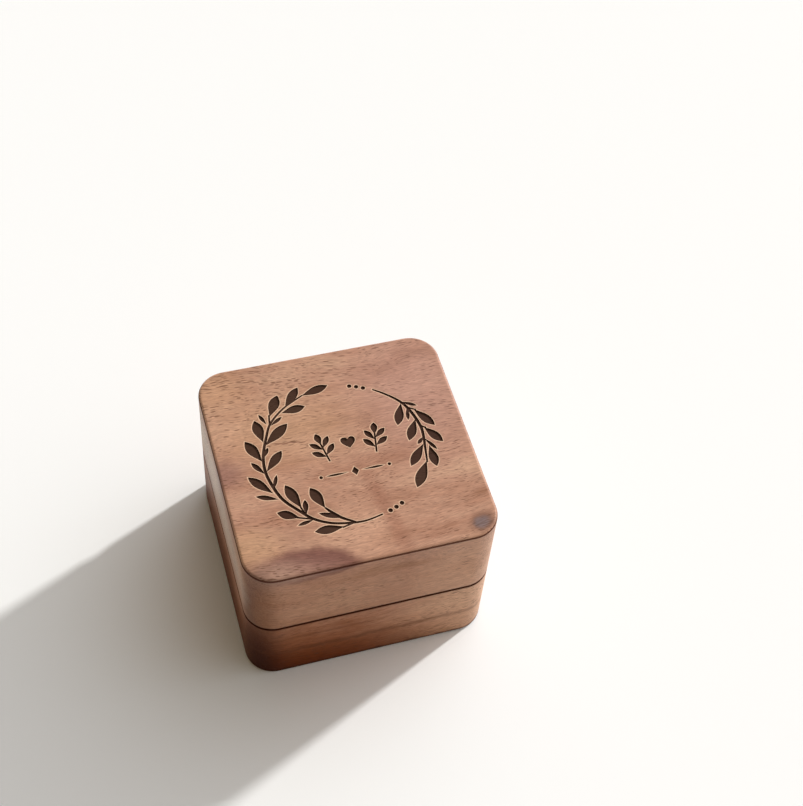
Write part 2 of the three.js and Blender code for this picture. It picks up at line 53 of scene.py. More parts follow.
# Kinds of nodes
VECTOR_MATH = "ShaderNodeVectorMath"
MATH = "ShaderNodeMath"
NOISE = "ShaderNodeTexNoise"
CELLS = "ShaderNodeTexVoronoi"
MAP_RANGE = "ShaderNodeMapRange"
MIX = "ShaderNodeMix"
RAMP = "ShaderNodeValToRGB"
MAPPING = "ShaderNodeMapping"
COORDINATES = "ShaderNodeTexCoord"
BUMP = "ShaderNodeBump"
PRINCIPLED = "ShaderNodeBsdfPrincipled"
OUTPUT = "ShaderNodeOutputMaterial"
COMBINE = "ShaderNodeCombineXYZ"


# Sizes taken from the frame

def low_high(node):
    """A CAD node's lowest and highest corner in millimetres."""
    low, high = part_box(node)
    return low / MM, high / MM


base_top = low_high("base_block")[1].z  # the brass leaves are let in flush with it
lid_low, lid_high = low_high("lid_block")
box_width = lid_high.x - lid_low.x
box_depth = lid_high.y - lid_low.y
lid_bottom = lid_low.z
lid_top = lid_high.z
seam_height = (base_top + lid_bottom) / 2

# Sizes of the milled blocks
corner_radius = 7
top_round = 0.8
bottom_round = 0.5
seam_round = 0.2
wall = 8
floor_thickness = 4
lid_thickness = 5
hollow_corner_radius = 5
hollow_width = box_width - 2 * wall
hollow_depth = box_depth - 2 * wall
ceiling = lid_top - lid_thickness
eased_edge = 0.18  # how far the milled inner edges are sanded back
seam_lip_width = 0.55
# The share below is the part of the top edge's rounding that carries a line of painted shade, not a burn
edge_shade_share = 0.6  # share of the top edge's rounding that the cutter burnt
overrun = 2
hair = 0.01  # keeps the faces of two shapes from falling together
corner_steps = 20
round_steps = 7

# Hinges
hinge_side_inset = 16
hinge_back_inset = 2.8
hinge_length = 12
leaf_thickness = 0.8
brass_ease = 0.06
tab_sink = 0.001  # keeps the faces of a knuckle's tab off those of its leaf
pin_ease = 0.05
pin_head_ease = 0.12
middle_knuckle = 4.2
knuckle_radius = 1.5
knuckle_gap = 0.3
pin_radius = 0.6
pin_clearance = 0.1
pin_head_radius = 0.9
pin_head_length = 0.4
pin_head_gap = 0.05
open_angle = 95
stop_slack = 1
relief_clearance = 0.3
wood_clearance = 0.15
hinge_x = box_width / 2 - hinge_side_inset
hinge_y = box_depth / 2 - hinge_back_inset
leaf_width = wall - hinge_back_inset
notch_depth = knuckle_radius + knuckle_gap
outer_knuckle = (hinge_length - middle_knuckle) / 2 - knuckle_gap
knuckle_relief_length = hinge_length + 2 * (pin_head_length + relief_clearance)

# Screws
screw_spacing = 7.2
screw_length = 5
screw_tip = 1.2
screw_point_radius = 0.02
driver_turn = 0.9  # the most that a slot is turned, either way
screw_shank_radius = 0.6
screw_head_radius = 1.3
screw_head_depth = 0.7
slot_width = 0.35
slot_depth = 0.25
screw_clearance = 0.08
screw_rim = 0.06
weld_distance = 0.004
screw_hole_radius = screw_shank_radius + screw_clearance
screw_y = hinge_y - (leaf_width + notch_depth) / 2

# Magnets
magnet_radius = 2
magnet_thickness = 2
magnet_side_inset = 10
magnet_recess = 0.1
magnet_rim = 0.15
magnet_x = box_width / 2 - magnet_side_inset
magnet_y = -(box_depth - wall) / 2

# Ring cushion and lid lining
card_thickness = 1
velvet_thickness = 0.7
foam_clearance = 0.15
soft_clearance = 0.3
roll_drop = 1.1
ring_slot = 0.8
roll_draw_in = 0.9
roll_end_round = 1.6
roll_foot = floor_thickness + card_thickness
roll_height = base_top - roll_drop - roll_foot
roll_length = hollow_width - 2 * soft_clearance
roll_width = (hollow_depth - 2 * soft_clearance - 2 * ring_slot) / 3
pad_thickness = 2.6
pad_crown = 1.7
pad_crown_width = 4.2
least_corner = 0.3  # the sharpest corner that the pad is given
cover_inset = 0.35  # how much smaller a velvet cover is before it is filled
velvet_voxel = 0.7
most_swell = 0.42  # how far any point of a cover may move
stuffing_frames = 20
glued_height, glued_depth = 1, 0.5  # how much of a roll's cover and of the pad's is glued down
side_steps, crown_steps, end_steps = 8, 32, 6
foot_lift = 0.2  # how far a smaller form is lifted off what it lies on, as a share of its inset

# Burnt-in ornament: a wreath round a heart, two sprigs and a rule. Angles are in degrees from +X.
wreath_radius = 20
engraving_depth = 0.35
# Painted highlight: the pale line round the engraving stands for light catching its edge
painted_highlight_edge = 0.22  # width of the pale line round the engraving
painted_highlight_edge_depth = 0.03
stem_width = 0.8
stalk_width = 0.45
dot_radius = 0.55
heart_width = 3.5
heart_height = 3.2
sprig_height = 8.3
sprig_stem_share = 0.614
sprig_lean = 10
rule_length = 14
rule_width = 0.55
rule_gap = 0.8
rule_dot_radius = 0.42
lozenge_width = 1.7
lozenge_height = 2.4
dot_angles = (72, 67, 62, -72, -67, -62)
dot_ring_share = 0.965
leaf_fullness = 1.35
leaf_bluntness = 0.9
broad, medium, slim, bud = 0.132, 0.114, 0.066, 0.047  # widths of leaves
stem_end_share = 0.5
leaf_steps, stem_steps, heart_steps = 14, 6, 8
heart_shares = (0.075, 0.115)
rule_shares = (0.05, -0.295)
sprig_foot_shares = [(-0.205, -0.085), (0.365, -0.085)]

# The middle lines of the long stem, the short stem and the twig
stem_path_shares = [
    [
        (0.2, -0.945), (0, -0.982), (-0.175, -0.972), (-0.4, -0.92), (-0.585, -0.815),
        (-0.72, -0.665), (-0.85, -0.495), (-0.92, -0.315), (-0.965, -0.075), (-0.94, 0.16),
        (-0.845, 0.415), (-0.75, 0.6), (-0.55, 0.78), (-0.29, 0.915),
    ],
    [
        (0.555, 0.805), (0.7, 0.69), (0.84, 0.54), (0.92, 0.37), (0.97, 0.15),
        (0.965, 0), (0.935, -0.175), (0.9, -0.38),
    ],
    [
        (-0.12, -0.975), (-0.26, -0.885), (-0.36, -0.78), (-0.42, -0.7),
    ],
]

# The stalks of the leaves that stand off their stem
stalk_shares = [
    [(-0.765, 0.59), (-0.745, 0.71)], [(-0.655, -0.735), (-0.685, -0.635)],
    [(-0.6, -0.815), (-0.75, -0.76)], [(-0.14, -0.975), (-0.28, -1.005)],
    [(0.895, 0.445), (0.98, 0.39)], [(0.97, 0.15), (1.02, 0.11)],
]

# Each leaf: its root on the stem, its tip and its width
leaf_shares = [
    (-0.305, 0.91, 0.045, 0.993, medium), (-0.535, 0.785, -0.315, 1.045, medium),
    (-0.6, 0.715, -0.295, 0.75, medium), (-0.745, 0.69, -0.58, 0.985, broad),
    (-0.8, 0.59, -0.863, 0.755, bud), (-0.765, 0.56, -0.6, 0.662, bud),
    (-0.895, 0.345, -0.93, 0.68, broad), (-0.89, 0.295, -0.56, 0.55, broad),
    (-0.965, 0.08, -1.105, 0.41, broad), (-0.94, 0.13, -0.86, 0.265, bud),
    (-0.955, -0.07, -0.715, 0.185, medium), (-0.975, -0.095, -1.1, 0.1, slim),
    (-0.94, -0.38, -1.18, -0.09, medium), (-0.93, -0.33, -0.85, -0.135, bud),
    (-0.895, -0.47, -1.15, -0.37, slim), (-0.675, -0.655, -0.79, -0.295, broad),
    (-0.645, -0.745, -0.617, -0.545, slim), (-0.72, -0.77, -0.965, -0.64, medium),
    (-0.57, -0.825, -0.775, -0.863, bud), (-0.415, -0.715, -0.52, -0.4, broad),
    (-0.245, -0.89, -0.505, -0.76, slim), (-0.26, -1, -0.61, -0.99, medium),
    (0.84, 0.53, 0.71, 0.215, medium), (0.84, 0.545, 1.015, 0.445, bud),
    (0.89, 0.45, 0.855, 0.26, bud), (0.955, 0.41, 1.145, 0.115, medium),
    (0.945, 0.26, 0.78, -0.03, medium), (1, 0.125, 1.17, -0.135, medium),
    (0.96, -0.015, 0.865, -0.105, bud), (0.935, -0.11, 0.7, -0.385, medium),
    (0.96, -0.035, 1.07, -0.23, bud), (0.99, -0.145, 0.995, -0.46, medium),
    (0.905, -0.35, 0.685, -0.69, broad),
]

# Each leaf of a sprig: its foot, its tip and its width, as shares of the sprig's height
sprig_leaf_shares = [
    (0, 0.58, 0, 1, 0.2), (0, 0.46, 0.3, 0.8, 0.17), (0, 0.4, -0.3, 0.74, 0.17),
    (0, 0.2, 0.35, 0.5, 0.18), (0, 0.14, -0.35, 0.44, 0.18),
]

# The right half of the heart
heart_curve_shares = [
    (0, -0.5), (0.22, -0.26), (0.5, -0.05), (0.5, 0.2), (0.5, 0.42), (0.38, 0.5), (0.26, 0.5),
    (0.14, 0.5), (0.04, 0.42), (0, 0.3),
]


# Small tools

def linear(code):
    """A hex colour as it is written for a screen, turned to linear light."""
    parts = [int(code[start:start + 2], 16) / 255 for start in (1, 3, 5)]
    return [p / 12.92 if p <= 0.04045 else ((p + 0.055) / 1.055) ** 2.4 for p in parts] + [1.0]


def settle(thing, **settings):
    """Gives a modifier, node, lamp or the like its settings."""
    for name, value in settings.items():
        setattr(thing, name, value)
    return thing


def add(tree, kind, inputs=(), operation=None, out=0, ramp=(), **settings):
    """Adds a node with its settings, its values and its links, and gives one of its outputs. Values and links are
    given by their sockets' names or numbers, or in the sockets' order."""
    node = settle(tree.nodes.new(kind), **settings)
    if operation:
        node.operation = operation
    for key, value in inputs.items() if isinstance(inputs, dict) else enumerate(inputs):
        if isinstance(value, bpy.types.NodeSocket):
            tree.links.new(value, node.inputs[key])
        else:
            node.inputs[key].default_value = value
    for index, (position, colour) in enumerate(ramp):
        stops = node.color_ramp.elements
        stop = stops[index] if index < 2 else stops.new(position)
        stop.position = position
        stop.color = colour
    return node.outputs[out] if node.outputs else None


def new_object(name, data):
    piece = bpy.data.objects.new(name, data)
    bpy.context.scene.collection.objects.link(piece)
    return piece


def from_bmesh(name, shape):
    mesh = bpy.data.meshes.new(name)
    bmesh.ops.recalc_face_normals(shape, faces=shape.faces)
    shape.to_mesh(mesh)
    shape.free()
    return new_object(name, mesh)


def baked(piece):
    """Turns a piece with modifiers into one with a plain mesh."""
    graph = bpy.context.evaluated_depsgraph_get()
    mesh = bpy.data.meshes.new_from_object(piece.evaluated_get(graph))
    piece.modifiers.clear()
    old = piece.data
    piece.data = mesh
    bpy.data.meshes.remove(old)
    piece.data.name = piece.name
    return piece


def cut(piece, cutter, operation="DIFFERENCE", self_crossing=False):
    """Cuts or joins one piece with another, which is used up."""
    settle(
        piece.modifiers.new("cut", "BOOLEAN"), operation=operation, object=cutter, solver="EXACT",
        use_self=self_crossing, material_mode="TRANSFER",
    )
    baked(piece)
    bpy.data.objects.remove(cutter)
    return piece


def smoothed(piece, angle=28):
    """Smooth shading with crisp edges, with flat faces kept flat."""
    piece.data.shade_smooth()
    piece.data.set_sharp_from_angle(angle=math.radians(angle))
    settle(piece.modifiers.new("flat faces", "WEIGHTED_NORMAL"), keep_sharp=True)
    return baked(piece)


def placed(piece, body, slot, *nodes):
    """Turns a finished piece to metres, gives it its body and hides the CAD nodes that it stands for. Its slot is not
    used.
    """
    piece.data.transform(Matrix.Scale(MM, 4))
    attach(piece, body)
    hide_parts(*nodes)


def use(piece, *materials):
    piece.data.materials.clear()
    for material in materials:
        piece.data.materials.append(material)
    return piece


# Outlines and solids, in millimetres

def direction(turn):
    return Vector((math.cos(turn), math.sin(turn)))


def rounded_outline(width, depth, radius, steps):
    """The points of a rounded rectangle, in order, counter-clockwise from the right."""
    points = []
    for quarter, (sx, sy) in enumerate([(1, 1), (-1, 1), (-1, -1), (1, -1)]):
        centre = Vector((sx * (width / 2 - radius), sy * (depth / 2 - radius)))
        for step in range(steps + 1):
            points.append(centre + radius * direction((quarter + step / steps) * QUARTER_TURN))
    return points


def rectangle(x1, y1, x2, y2):
    return [Vector(point) for point in ((x1, y1), (x2, y1), (x2, y2), (x1, y2))]


def at_height(outline, height):
    return [(point.x, point.y, height) for point in outline]


def ring_of(radius, height, centre, steps):
    turns = [2 * HALF_TURN * step / steps for step in range(steps)]
    return [(centre[0] + radius * math.cos(t), centre[1] + radius * math.sin(t), height) for t in turns]


def round_outline(centre, radius, steps=28):
    return [Vector(point[:2]) for point in ring_of(radius, 0, centre, steps)]


def counter_clockwise(outline):
    area = sum(one.cross(two) for one, two in zip(outline, outline[1:] + outline[:1]))
    return outline if area > 0 else outline[::-1]


def offset(outline, by):
    """A counter-clockwise outline moved outwards by a distance, with its sharpest corners cut short."""
    moved = []
    for before, point, after in zip(outline[-1:] + outline[:-1], outline, outline[1:] + outline[:1]):
        normals = [Vector((side.y, -side.x)).normalized() for side in (point - before, after - point)]
        middle = (normals[0] + normals[1]).normalized()
        moved.append(point + middle * by / max(middle.dot(normals[0]), 0.5))
    return moved


def add_stack(shape, rings):
    """Adds a closed solid to a shape, from rings of as many points each, lowest first."""
    levels = [[shape.verts.new(point) for point in ring] for ring in rings]
    count = len(levels[0])
    for below, above in zip(levels, levels[1:]):
        for index in range(count):
            after = (index + 1) % count
            shape.faces.new([below[index], below[after], above[after], above[index]])
    shape.faces.new(levels[0][::-1])
    shape.faces.new(levels[-1])


def stack(name, rings):
    shape = bmesh.new()
    add_stack(shape, rings)
    return from_bmesh(name, shape)


def rod(name, radius, length, x, eased_by, steps=48):
    """A round rod along X on the hinge axis, with eased ends."""
    half = length / 2
    ends = [(-half, eased_by), (-half + eased_by, 0), (half - eased_by, 0), (half, eased_by)]
    rings = [
        [(x + along, hinge_y + y, seam_height + z) for y, z, _ in ring_of(radius - narrow, 0, (0, 0), steps)]
        for along, narrow in (ends if eased_by else ends[::3])
    ]
    return stack(name, rings)


def rounded_slab(name, width, depth, radius, low, high, low_round=0, high_round=0, lip=0):
    """A slab with rounded corners and, where asked, rounded lower and upper edges. With a lip, its flat faces get a
    border of that width, which can have its own finish."""
    turns = [step / round_steps * QUARTER_TURN for step in range(round_steps + 1)]
    levels = [(low_round * (1 - math.sin(turn)), low + low_round * (1 - math.cos(turn)))
              for turn in (turns if low_round else turns[:1])]
    levels += [(high_round * (1 - math.cos(turn)), high - high_round * (1 - math.sin(turn)))
               for turn in (turns if high_round else turns[:1])]
    if lip:
        levels = [(low_round + lip, low), *levels, (high_round + lip, high)]
    return stack(name, [
        at_height(rounded_outline(width - 2 * inset, depth - 2 * inset, radius - inset, corner_steps), height)
        for inset, height in levels
    ])


# Materials

def new_material(name):
    material = bpy.data.materials.new(name)
    material.use_nodes = True
    material.node_tree.nodes.clear()
    return material, material.node_tree


def in_millimetres(tree):
    """The place on a piece, by which its patterns are laid out."""
    return add(tree, MAPPING, {"Vector": add(tree, COORDINATES, out="Object"), "Scale": [1 / MM] * 3})


def pattern(tree, place, kind, per_mm, values, out=0):
    """Noise or cells, stretched to a number of them in a millimetre along each axis."""
    stretched = add(tree, VECTOR_MATH, [place, per_mm], "MULTIPLY")
    return add(tree, kind, {"Vector": stretched, "Scale": 1.0, **values}, out=out)


def by_noise(tree, noise, least, most):
    """A value that a noise varies between two. Nearly all of a noise lies between 0.3 and 0.7."""
    return add(tree, MAP_RANGE, {
        "Value": noise, "From Min": 0.3, "From Max": 0.7, "To Min": least, "To Max": most,
    })


def mixed(tree, share, colour, code):
    """A colour with a share of another mixed in."""
    return add(tree, MIX, {0: share, 6: colour, 7: linear(code)}, out=2, data_type="RGBA")


def finish(name, surface, broad, dark, light, fine=None, shade=None, gloss=None, relief=None):
    """A material other than wood. Its broad pattern sets the colour, between a dark and a light one. Its fine pattern,
    or else the broad one, can shade it, vary its gloss, and raise it by a strength and a depth in millimetres."""
    material, tree = new_material(name)
    place = in_millimetres(tree)
    tone = pattern(tree, place, *broad)
    grain = pattern(tree, place, *fine) if fine else tone
    colour = add(tree, RAMP, [tone], ramp=[(stop, linear(code)) for stop, code in (dark, light)])
    if shade:
        colour = add(tree, VECTOR_MATH, {0: colour, "Scale": by_noise(tree, grain, *shade)}, "SCALE")
    surface = {"Base Color": colour, **surface}
    if gloss:
        surface["Roughness"] = by_noise(tree, grain, *gloss)
    if relief:
        strength, depth = relief
        surface["Normal"] = add(tree, BUMP, {"Height": grain, "Strength": strength, "Distance": depth * MM})
    add(tree, OUTPUT, {"Surface": add(tree, PRINCIPLED, surface)})
    return material


# Wood

def from_middle(tree, place, centre, size, turn=0):
    """How far a place is from the middle of an ellipsoid: 0 there and 1 on its skin."""
    inside = add(tree, MAPPING, {
        "Vector": place, "Location": centre, "Rotation": (0, 0, math.radians(turn)), "Scale": size,
    }, vector_type="TEXTURE")
    return add(tree, VECTOR_MATH, [inside], "LENGTH", out="Value")


def zoned(tree, place, colour, zones):
    """Tints soft-edged ellipsoids of a block. A zone is its centre, its half sizes, its turn about Z in degrees, the
    softness of its edge, its colour and the strength of that."""
    for centre, size, turn, softness, tint, strength in zones:
        share = add(tree, MAP_RANGE, {
            "Value": from_middle(tree, place, centre, size, turn),
            "From Min": 1 - softness, "From Max": 1 + softness, "To Min": strength, "To Max": 0.0,
        }, interpolation_type="SMOOTHSTEP")
        colour = mixed(tree, share, colour, tint)
    return colour


def walnut_figure(tree, shift, zones, open_grain):
    """The solid figure of a walnut block, which runs along X: its colour, its fibres and its open pores. In the
    zone of open grain the fibres turn aside and the pores crowd."""
    place = in_millimetres(tree)
    elsewhere = add(tree, VECTOR_MATH, [place, shift], "ADD")

    # The fibres wander by a millimetre or two over the length of the box, and ripple by a few tenths
    wander = pattern(tree, elsewhere, NOISE, (0.022, 0.035, 0.035), {"Detail": 1.0}, "Color")
    ripple = pattern(tree, elsewhere, NOISE, (0.16, 0.12, 0.12), {"Detail": 1.0}, "Color")
    bent = add(tree, VECTOR_MATH, [wander, (0, 9, 9), elsewhere], "MULTIPLY_ADD")
    bent = add(tree, VECTOR_MATH, [ripple, (0, 1.3, 1.3), bent], "MULTIPLY_ADD")
    centre, size, aside = open_grain
    opened = add(tree, MAP_RANGE, {
        "Value": from_middle(tree, place, centre, size), "From Min": 0.0, "From Max": 1.6, "To Min": 1.0, "To Max": 0.0,
    }, interpolation_type="SMOOTHSTEP")
    bent = add(tree, VECTOR_MATH, [
        add(tree, VECTOR_MATH, {0: (0, aside, 0), "Scale": opened}, "SCALE"), bent,
    ], "ADD")

    # Growth rings round a pith below the box, 4 to 5 mm apart
    from_pith = add(tree, VECTOR_MATH, [bent, (0, 1, 1), (0, -18, 95)], "MULTIPLY_ADD")
    ring_radius = add(tree, VECTOR_MATH, [from_pith], "LENGTH", out="Value")
    ring_count = add(tree, MATH, [ring_radius, 4.4], "DIVIDE")
    late = add(tree, RAMP, [
        add(tree, MATH, [ring_count], "FRACT"),
    ], ramp=[(0.0, (0, 0, 0, 1)), (0.55, (0.03, 0.03, 0.03, 1)), (0.94, (0.2, 0.2, 0.2, 1)), (1.0, (0, 0, 0, 1))])

    # Broad changes of tone along the grain
    tone = pattern(tree, bent, NOISE, (0.04, 0.12, 0.12), {"Detail": 4.0, "Roughness": 0.6})
    colour = add(tree, RAMP, [tone], ramp=[
        (0.3, linear("#97694f")), (0.42, linear("#b1826a")), (0.56, linear("#bd9078")), (0.72, linear("#c99f84")),
    ])
    colour = mixed(tree, late, colour, "#85543c")

    # The edges of the zones are ragged by half a millimetre
    ragged = pattern(tree, place, NOISE, (0.35, 0.35, 0.35), {"Detail": 2.0}, "Color")
    ragged = add(tree, VECTOR_MATH, [ragged, (0.5, 0.5, 0.5)], "SUBTRACT")
    ragged = add(tree, VECTOR_MATH, [ragged, (1.5, 1.5, 1.5), place], "MULTIPLY_ADD")
    colour = zoned(tree, ragged, colour, zones)

    # Fine fibres, a quarter of a millimetre wide and 2 to 3 mm long
    fibre = pattern(tree, bent, NOISE, (0.34, 3.6, 3.6), {"Detail": 3.0, "Roughness": 0.65})
    colour = add(tree, VECTOR_MATH, {0: colour, "Scale": by_noise(tree, fibre, 0.74, 1.2)}, "SCALE")

    # Open pores: dark dashes along the grain, 1 to 2 mm long. Real ones are half as wide as they are drawn here.
    pore_far = pattern(tree, bent, CELLS, (0.33, 2.8, 2.8), {})
    pore_crowd = pattern(tree, bent, NOISE, (0.06, 0.25, 0.25), {"Detail": 2.0})
    pore_size = add(tree, MAP_RANGE, {
        "Value": pore_crowd, "From Min": 0.35, "From Max": 0.65, "To Min": 0.14, "To Max": 0.36,
    })
    pore_size = add(tree, MATH, [opened, 0.2, pore_size], "MULTIPLY_ADD")
    pore = add(tree, MAP_RANGE, {
        "Value": add(tree, MATH, [pore_size, pore_far], "SUBTRACT"),
        "From Min": 0.0, "From Max": 0.14,
    })
    return mixed(tree, add(tree, MATH, [pore, 0.66], "MULTIPLY"), colour, "#55331f"), fibre, pore


def walnut(name, board, scorch_and_painted_light=None, scorch_and_painted_light_share=0.0, roughness=0.4, specular=0.15):
    """A finish of one of the two blocks, with a colour mixed in by a share: the scorch of the engraving on one finish,
    and painted highlight or painted shade on the others.
    """
    material, tree = new_material(name)
    colour, fibre, pore = walnut_figure(tree, *board)
    if scorch_and_painted_light:
        colour = mixed(tree, scorch_and_painted_light_share, colour, scorch_and_painted_light)
    height = add(tree, MATH, [fibre, 0.3, pore], "MULTIPLY_ADD")
    bump = add(tree, BUMP, {"Height": height, "Strength": 0.35, "Distance": 0.04 * MM}, invert=True)
    gloss = by_noise(tree, fibre, roughness + 0.06, roughness - 0.04)
    shader = add(tree, PRINCIPLED, {
        "Base Color": colour, "Roughness": gloss, "Normal": bump, "IOR": 1.5, "Specular IOR Level": specular,
    })
    add(tree, OUTPUT, {"Surface": shader})
    return material


# The lid's figure: a mineral stain with a darker rim, a knot, golden and pink zones of the heartwood; also painted
# shade on the front left corner and along the seam, painted light at the front right and a painted reflection on the
# left end
lid_zones = [
    ((-14, 10, 44), (17, 9, 14), -8, 0.8, "#cea383", 0.6),
    ((-27, 25, 44), (8, 6, 14), 0, 0.8, "#cfa27e", 0.5),
    ((-2, -22, 44), (9, 6, 14), 0, 0.8, "#d0a287", 0.6),
    ((-27.5, -20.5, 44), (7, 4.5, 10), -10, 0.7, "#cda37f", 0.55),
    ((22, 14, 44), (14, 17, 16), 0, 0.8, "#c79a8b", 0.55),
    ((5.4, -19, 44), (1.8, 13, 12), 10, 0.8, "#94614c", 0.5),
    ((11, -4, 44), (9, 1.6, 12), -8, 0.8, "#a5745d", 0.45),
    ((-29, 0, 44), (4.5, 3.6, 10), 0, 0.7, "#8a625a", 0.6),
    ((-16, -33, 44.5), (13.6, 9.6, 3.4), -5, 0.14, "#6f443c", 0.85),
    ((-17.6, -33.8, 44.5), (12.8, 9, 3.4), -5, 0.3, "#83594f", 0.9),
    ((-19, -36, 44.5), (13, 8.8, 3.4), -5, 0.35, "#a67e6d", 0.75),
    ((-26, -30, 44.5), (7.5, 4.5, 3.4), 0, 0.8, "#b7927d", 0.7),
    # Painted shade: the front left corner, darker all the way up
    ((-31, -31, 26), (7, 7, 24), 0, 0.6, "#4a2009", 0.85),
    ((-6, -31, 29), (36, 5, 13.5), 0, 0.3, "#ad7853", 0.4),
    # Painted light: the right of the front, lighter where the lit floor throws light back
    ((34, -31, 30), (22, 6, 15), 0, 0.4, "#dcab8a", 0.4),
    # Painted reflection: the left end, paler and greyer as if it mirrored the lit floor
    ((-31, 6, 32), (2.5, 32, 9), 0, 0.4, "#e4d6c8", 0.6),
    # Painted shade: a darker band along the seam
    ((0, 0, 21.5), (70, 70, 0.9), 0, 0.4, "#4f2512", 0.25),
    ((-12, 5.5, 44), (4.6, 0.2, 3), -6, 0.5, "#6d4534", 0.75),
    ((25.6, -26.3, 44), (3.1, 2.4, 8), 20, 0.45, "#6d4a3c", 0.7),
    ((25.3, -26.4, 44), (1.9, 1.5, 6), 20, 0.5, "#7f6d6c", 0.85),
]
# The base's figure: one dark streak along the front; painted shade low at the front left (partly a browner heartwood),
# on the front left corner, on the left end and along the seam; a painted contact shadow along the bottom; painted light
# at the front right
base_zones = [
    # Painted light: the right of the front, lighter where the lit floor throws light back
    ((34, -31, 8), (28, 8, 18), 0, 0.5, "#e4b99a", 0.8),
    # Painted shade, partly a browner heartwood: darker and more orange low at the front left, where the floor lies in
    # shadow
    ((-30, -30, 0), (44, 60, 18), 0, 0.9, "#8c4a1c", 0.95),
    ((-26, -26, 0), (30, 60, 9.5), 0, 0.9, "#682c06", 0.92),
    # Painted shade: the front left corner, darkest low down
    ((-31, -31, 4), (8, 9, 24), 0, 0.6, "#3c1404", 0.95),
    # Painted shade: the left end, dark where it mirrors the shadowed floor
    ((-31, 6, 2), (2.5, 36, 15), 0, 0.6, "#5a2c12", 0.8),
    # Painted shade: a darker band along the seam
    ((0, 0, 21.5), (70, 70, 0.9), 0, 0.4, "#4f2512", 0.25),
    # Painted shadow: a dark band along the bottom, where the box meets the floor
    ((0, 0, 0), (70, 70, 1.2), 0, 0.4, "#33160a", 0.75),
    ((-2, -30, 9.4), (36, 12, 0.8), 0, 0.9, "#5e3620", 0.5),
    ((-12, -30, 15.6), (14, 12, 0.5), 0, 0.9, "#5e3620", 0.35),
]
# Where each block was cut from the board, in millimetres, its zones, and its zone of open grain with how far the
# fibres turn aside there
lid_board = ((0, 0, 0), lid_zones, ((-30, 25, 44), (28, 12, 20), -5.5))
base_board = ((37, 11, -26), base_zones, ((10, 30, 12), (14, 20, 5), 1.5))


# Blocks

def flared(name, outline, low):
    """A cutting shape that reaches down to low and leaves an eased edge at the rim, with its top above the wood."""
    return stack(name, [
        at_height(outline, low), at_height(outline, base_top - eased_edge),
        at_height(offset(outline, eased_edge + overrun), base_top + overrun),
    ])


def turned_over(piece):
    """Turns a shape over about the hinge axis, from the base's side to the lid's."""
    piece.data.transform(
        Matrix.Translation((0, 0, seam_height)) @ Matrix.Rotation(HALF_TURN, 4, "Y")
        @ Matrix.Translation((0, 0, -seam_height))
    )
    return piece


def screw_places(x):
    return [(x + side * screw_spacing / 2, screw_y) for side in (-1, 1)]


def hinge_room(x):
    """The seat of a hinge's leaf in the base, the round relief for its knuckles and the pilot holes."""
    half = hinge_length / 2 + wood_clearance
    low = base_top - leaf_thickness
    outline = rectangle(x - half, hinge_y - leaf_width - overrun, x + half, hinge_y)
    room = stack("room", [at_height(outline, low), at_height(outline, base_top + overrun)])
    cut(room, rod("relief", knuckle_radius + relief_clearance, knuckle_relief_length, x, 0), "UNION")
    for place in screw_places(x):
        heights = (low - screw_length, low + 0.1)
        cut(room, stack("hole", [ring_of(screw_hole_radius, height, place, 16) for height in heights]), "UNION")
    return room


def magnet_pocket(x):
    outline = round_outline((x, magnet_y), magnet_radius + wood_clearance, 40)
    return flared("pocket", outline, base_top - magnet_thickness - magnet_recess)


def back_slope():
    angle = math.radians(open_angle / 2 + stop_slack / 2)
    reach = hinge_back_inset + overrun
    section = [(hinge_y, seam_height), (hinge_y + reach, seam_height - reach * math.tan(angle)),
               (hinge_y + reach, seam_height)]
    half = box_width / 2 + overrun
    return stack("slope", [[(x, y, z) for y, z in section] for x in (-half, half)])


def milled(block, wood, over):
    """Mills the hollow, the hinge rooms, the magnet pockets and the back slope into a block. The cutters are made for
    the base, and turned over for the lid."""
    outline = rounded_outline(hollow_width, hollow_depth, hollow_corner_radius, corner_steps)
    depth = ceiling - lid_bottom if over else base_top - floor_thickness
    cutters = [flared("hollow", outline, base_top - depth), back_slope()]
    cutters += [hinge_room(x) for x in (-hinge_x, hinge_x)] + [magnet_pocket(x) for x in (-magnet_x, magnet_x)]
    for cutter in cutters:
        use(cutter, wood)
        cut(block, turned_over(cutter) if over else cutter)


# Ornament

def on_lid(share):
    """A place on the lid, from its shares of the wreath's radius."""
    return Vector(share) * wreath_radius


def leaf_outline(foot, tip, width):
    """A leaf from foot to tip."""
    along = tip - foot
    across = along.orthogonal().normalized()
    sides = ([], [])
    for step in range(1, leaf_steps):
        share = step / leaf_steps
        out = across * width / 2 * math.sin(HALF_TURN * share ** leaf_fullness) ** leaf_bluntness
        sides[0].append(foot + along * share - out)
        sides[1].append(foot + along * share + out)
    return [foot, *sides[0], tip, *sides[1][::-1]]


def stroke_outline(start, end, width):
    along = (end - start).normalized() * width / 2
    across = along.orthogonal()
    return [start - along - across, end + along - across, end + along + across, start - along + across]


def stem_outline(path):
    """A stem along a smooth middle line through a path, widest halfway and narrower towards both ends."""
    points = [on_lid(share) for share in path]
    last = len(points) - 1
    sides = ([], [])
    for index in range(last):
        p0, p1, p2, p3 = (points[min(max(index + shift, 0), last)] for shift in (-1, 0, 1, 2))
        v0, v1 = (p2 - p0) / 2, (p3 - p1) / 2
        cubic = (p1 - p2) * 2 + v0 + v1
        square = (p2 - p1) * 3 - v0 * 2 - v1
        for step in range(stem_steps + (index == last - 1)):  # the last stretch has its end too
            t = step / stem_steps
            place = cubic * t ** 3 + square * t * t + v0 * t + p1
            along = cubic * 3 * t * t + square * 2 * t + v0
            swell = math.sin(HALF_TURN * (index * stem_steps + step) / (last * stem_steps))
            share = stem_end_share + (1 - stem_end_share) * swell
            across = along.orthogonal().normalized() * share * stem_width / 2
            sides[0].append(place - across)
            sides[1].append(place + across)
    return [*sides[0], *sides[1][::-1]]


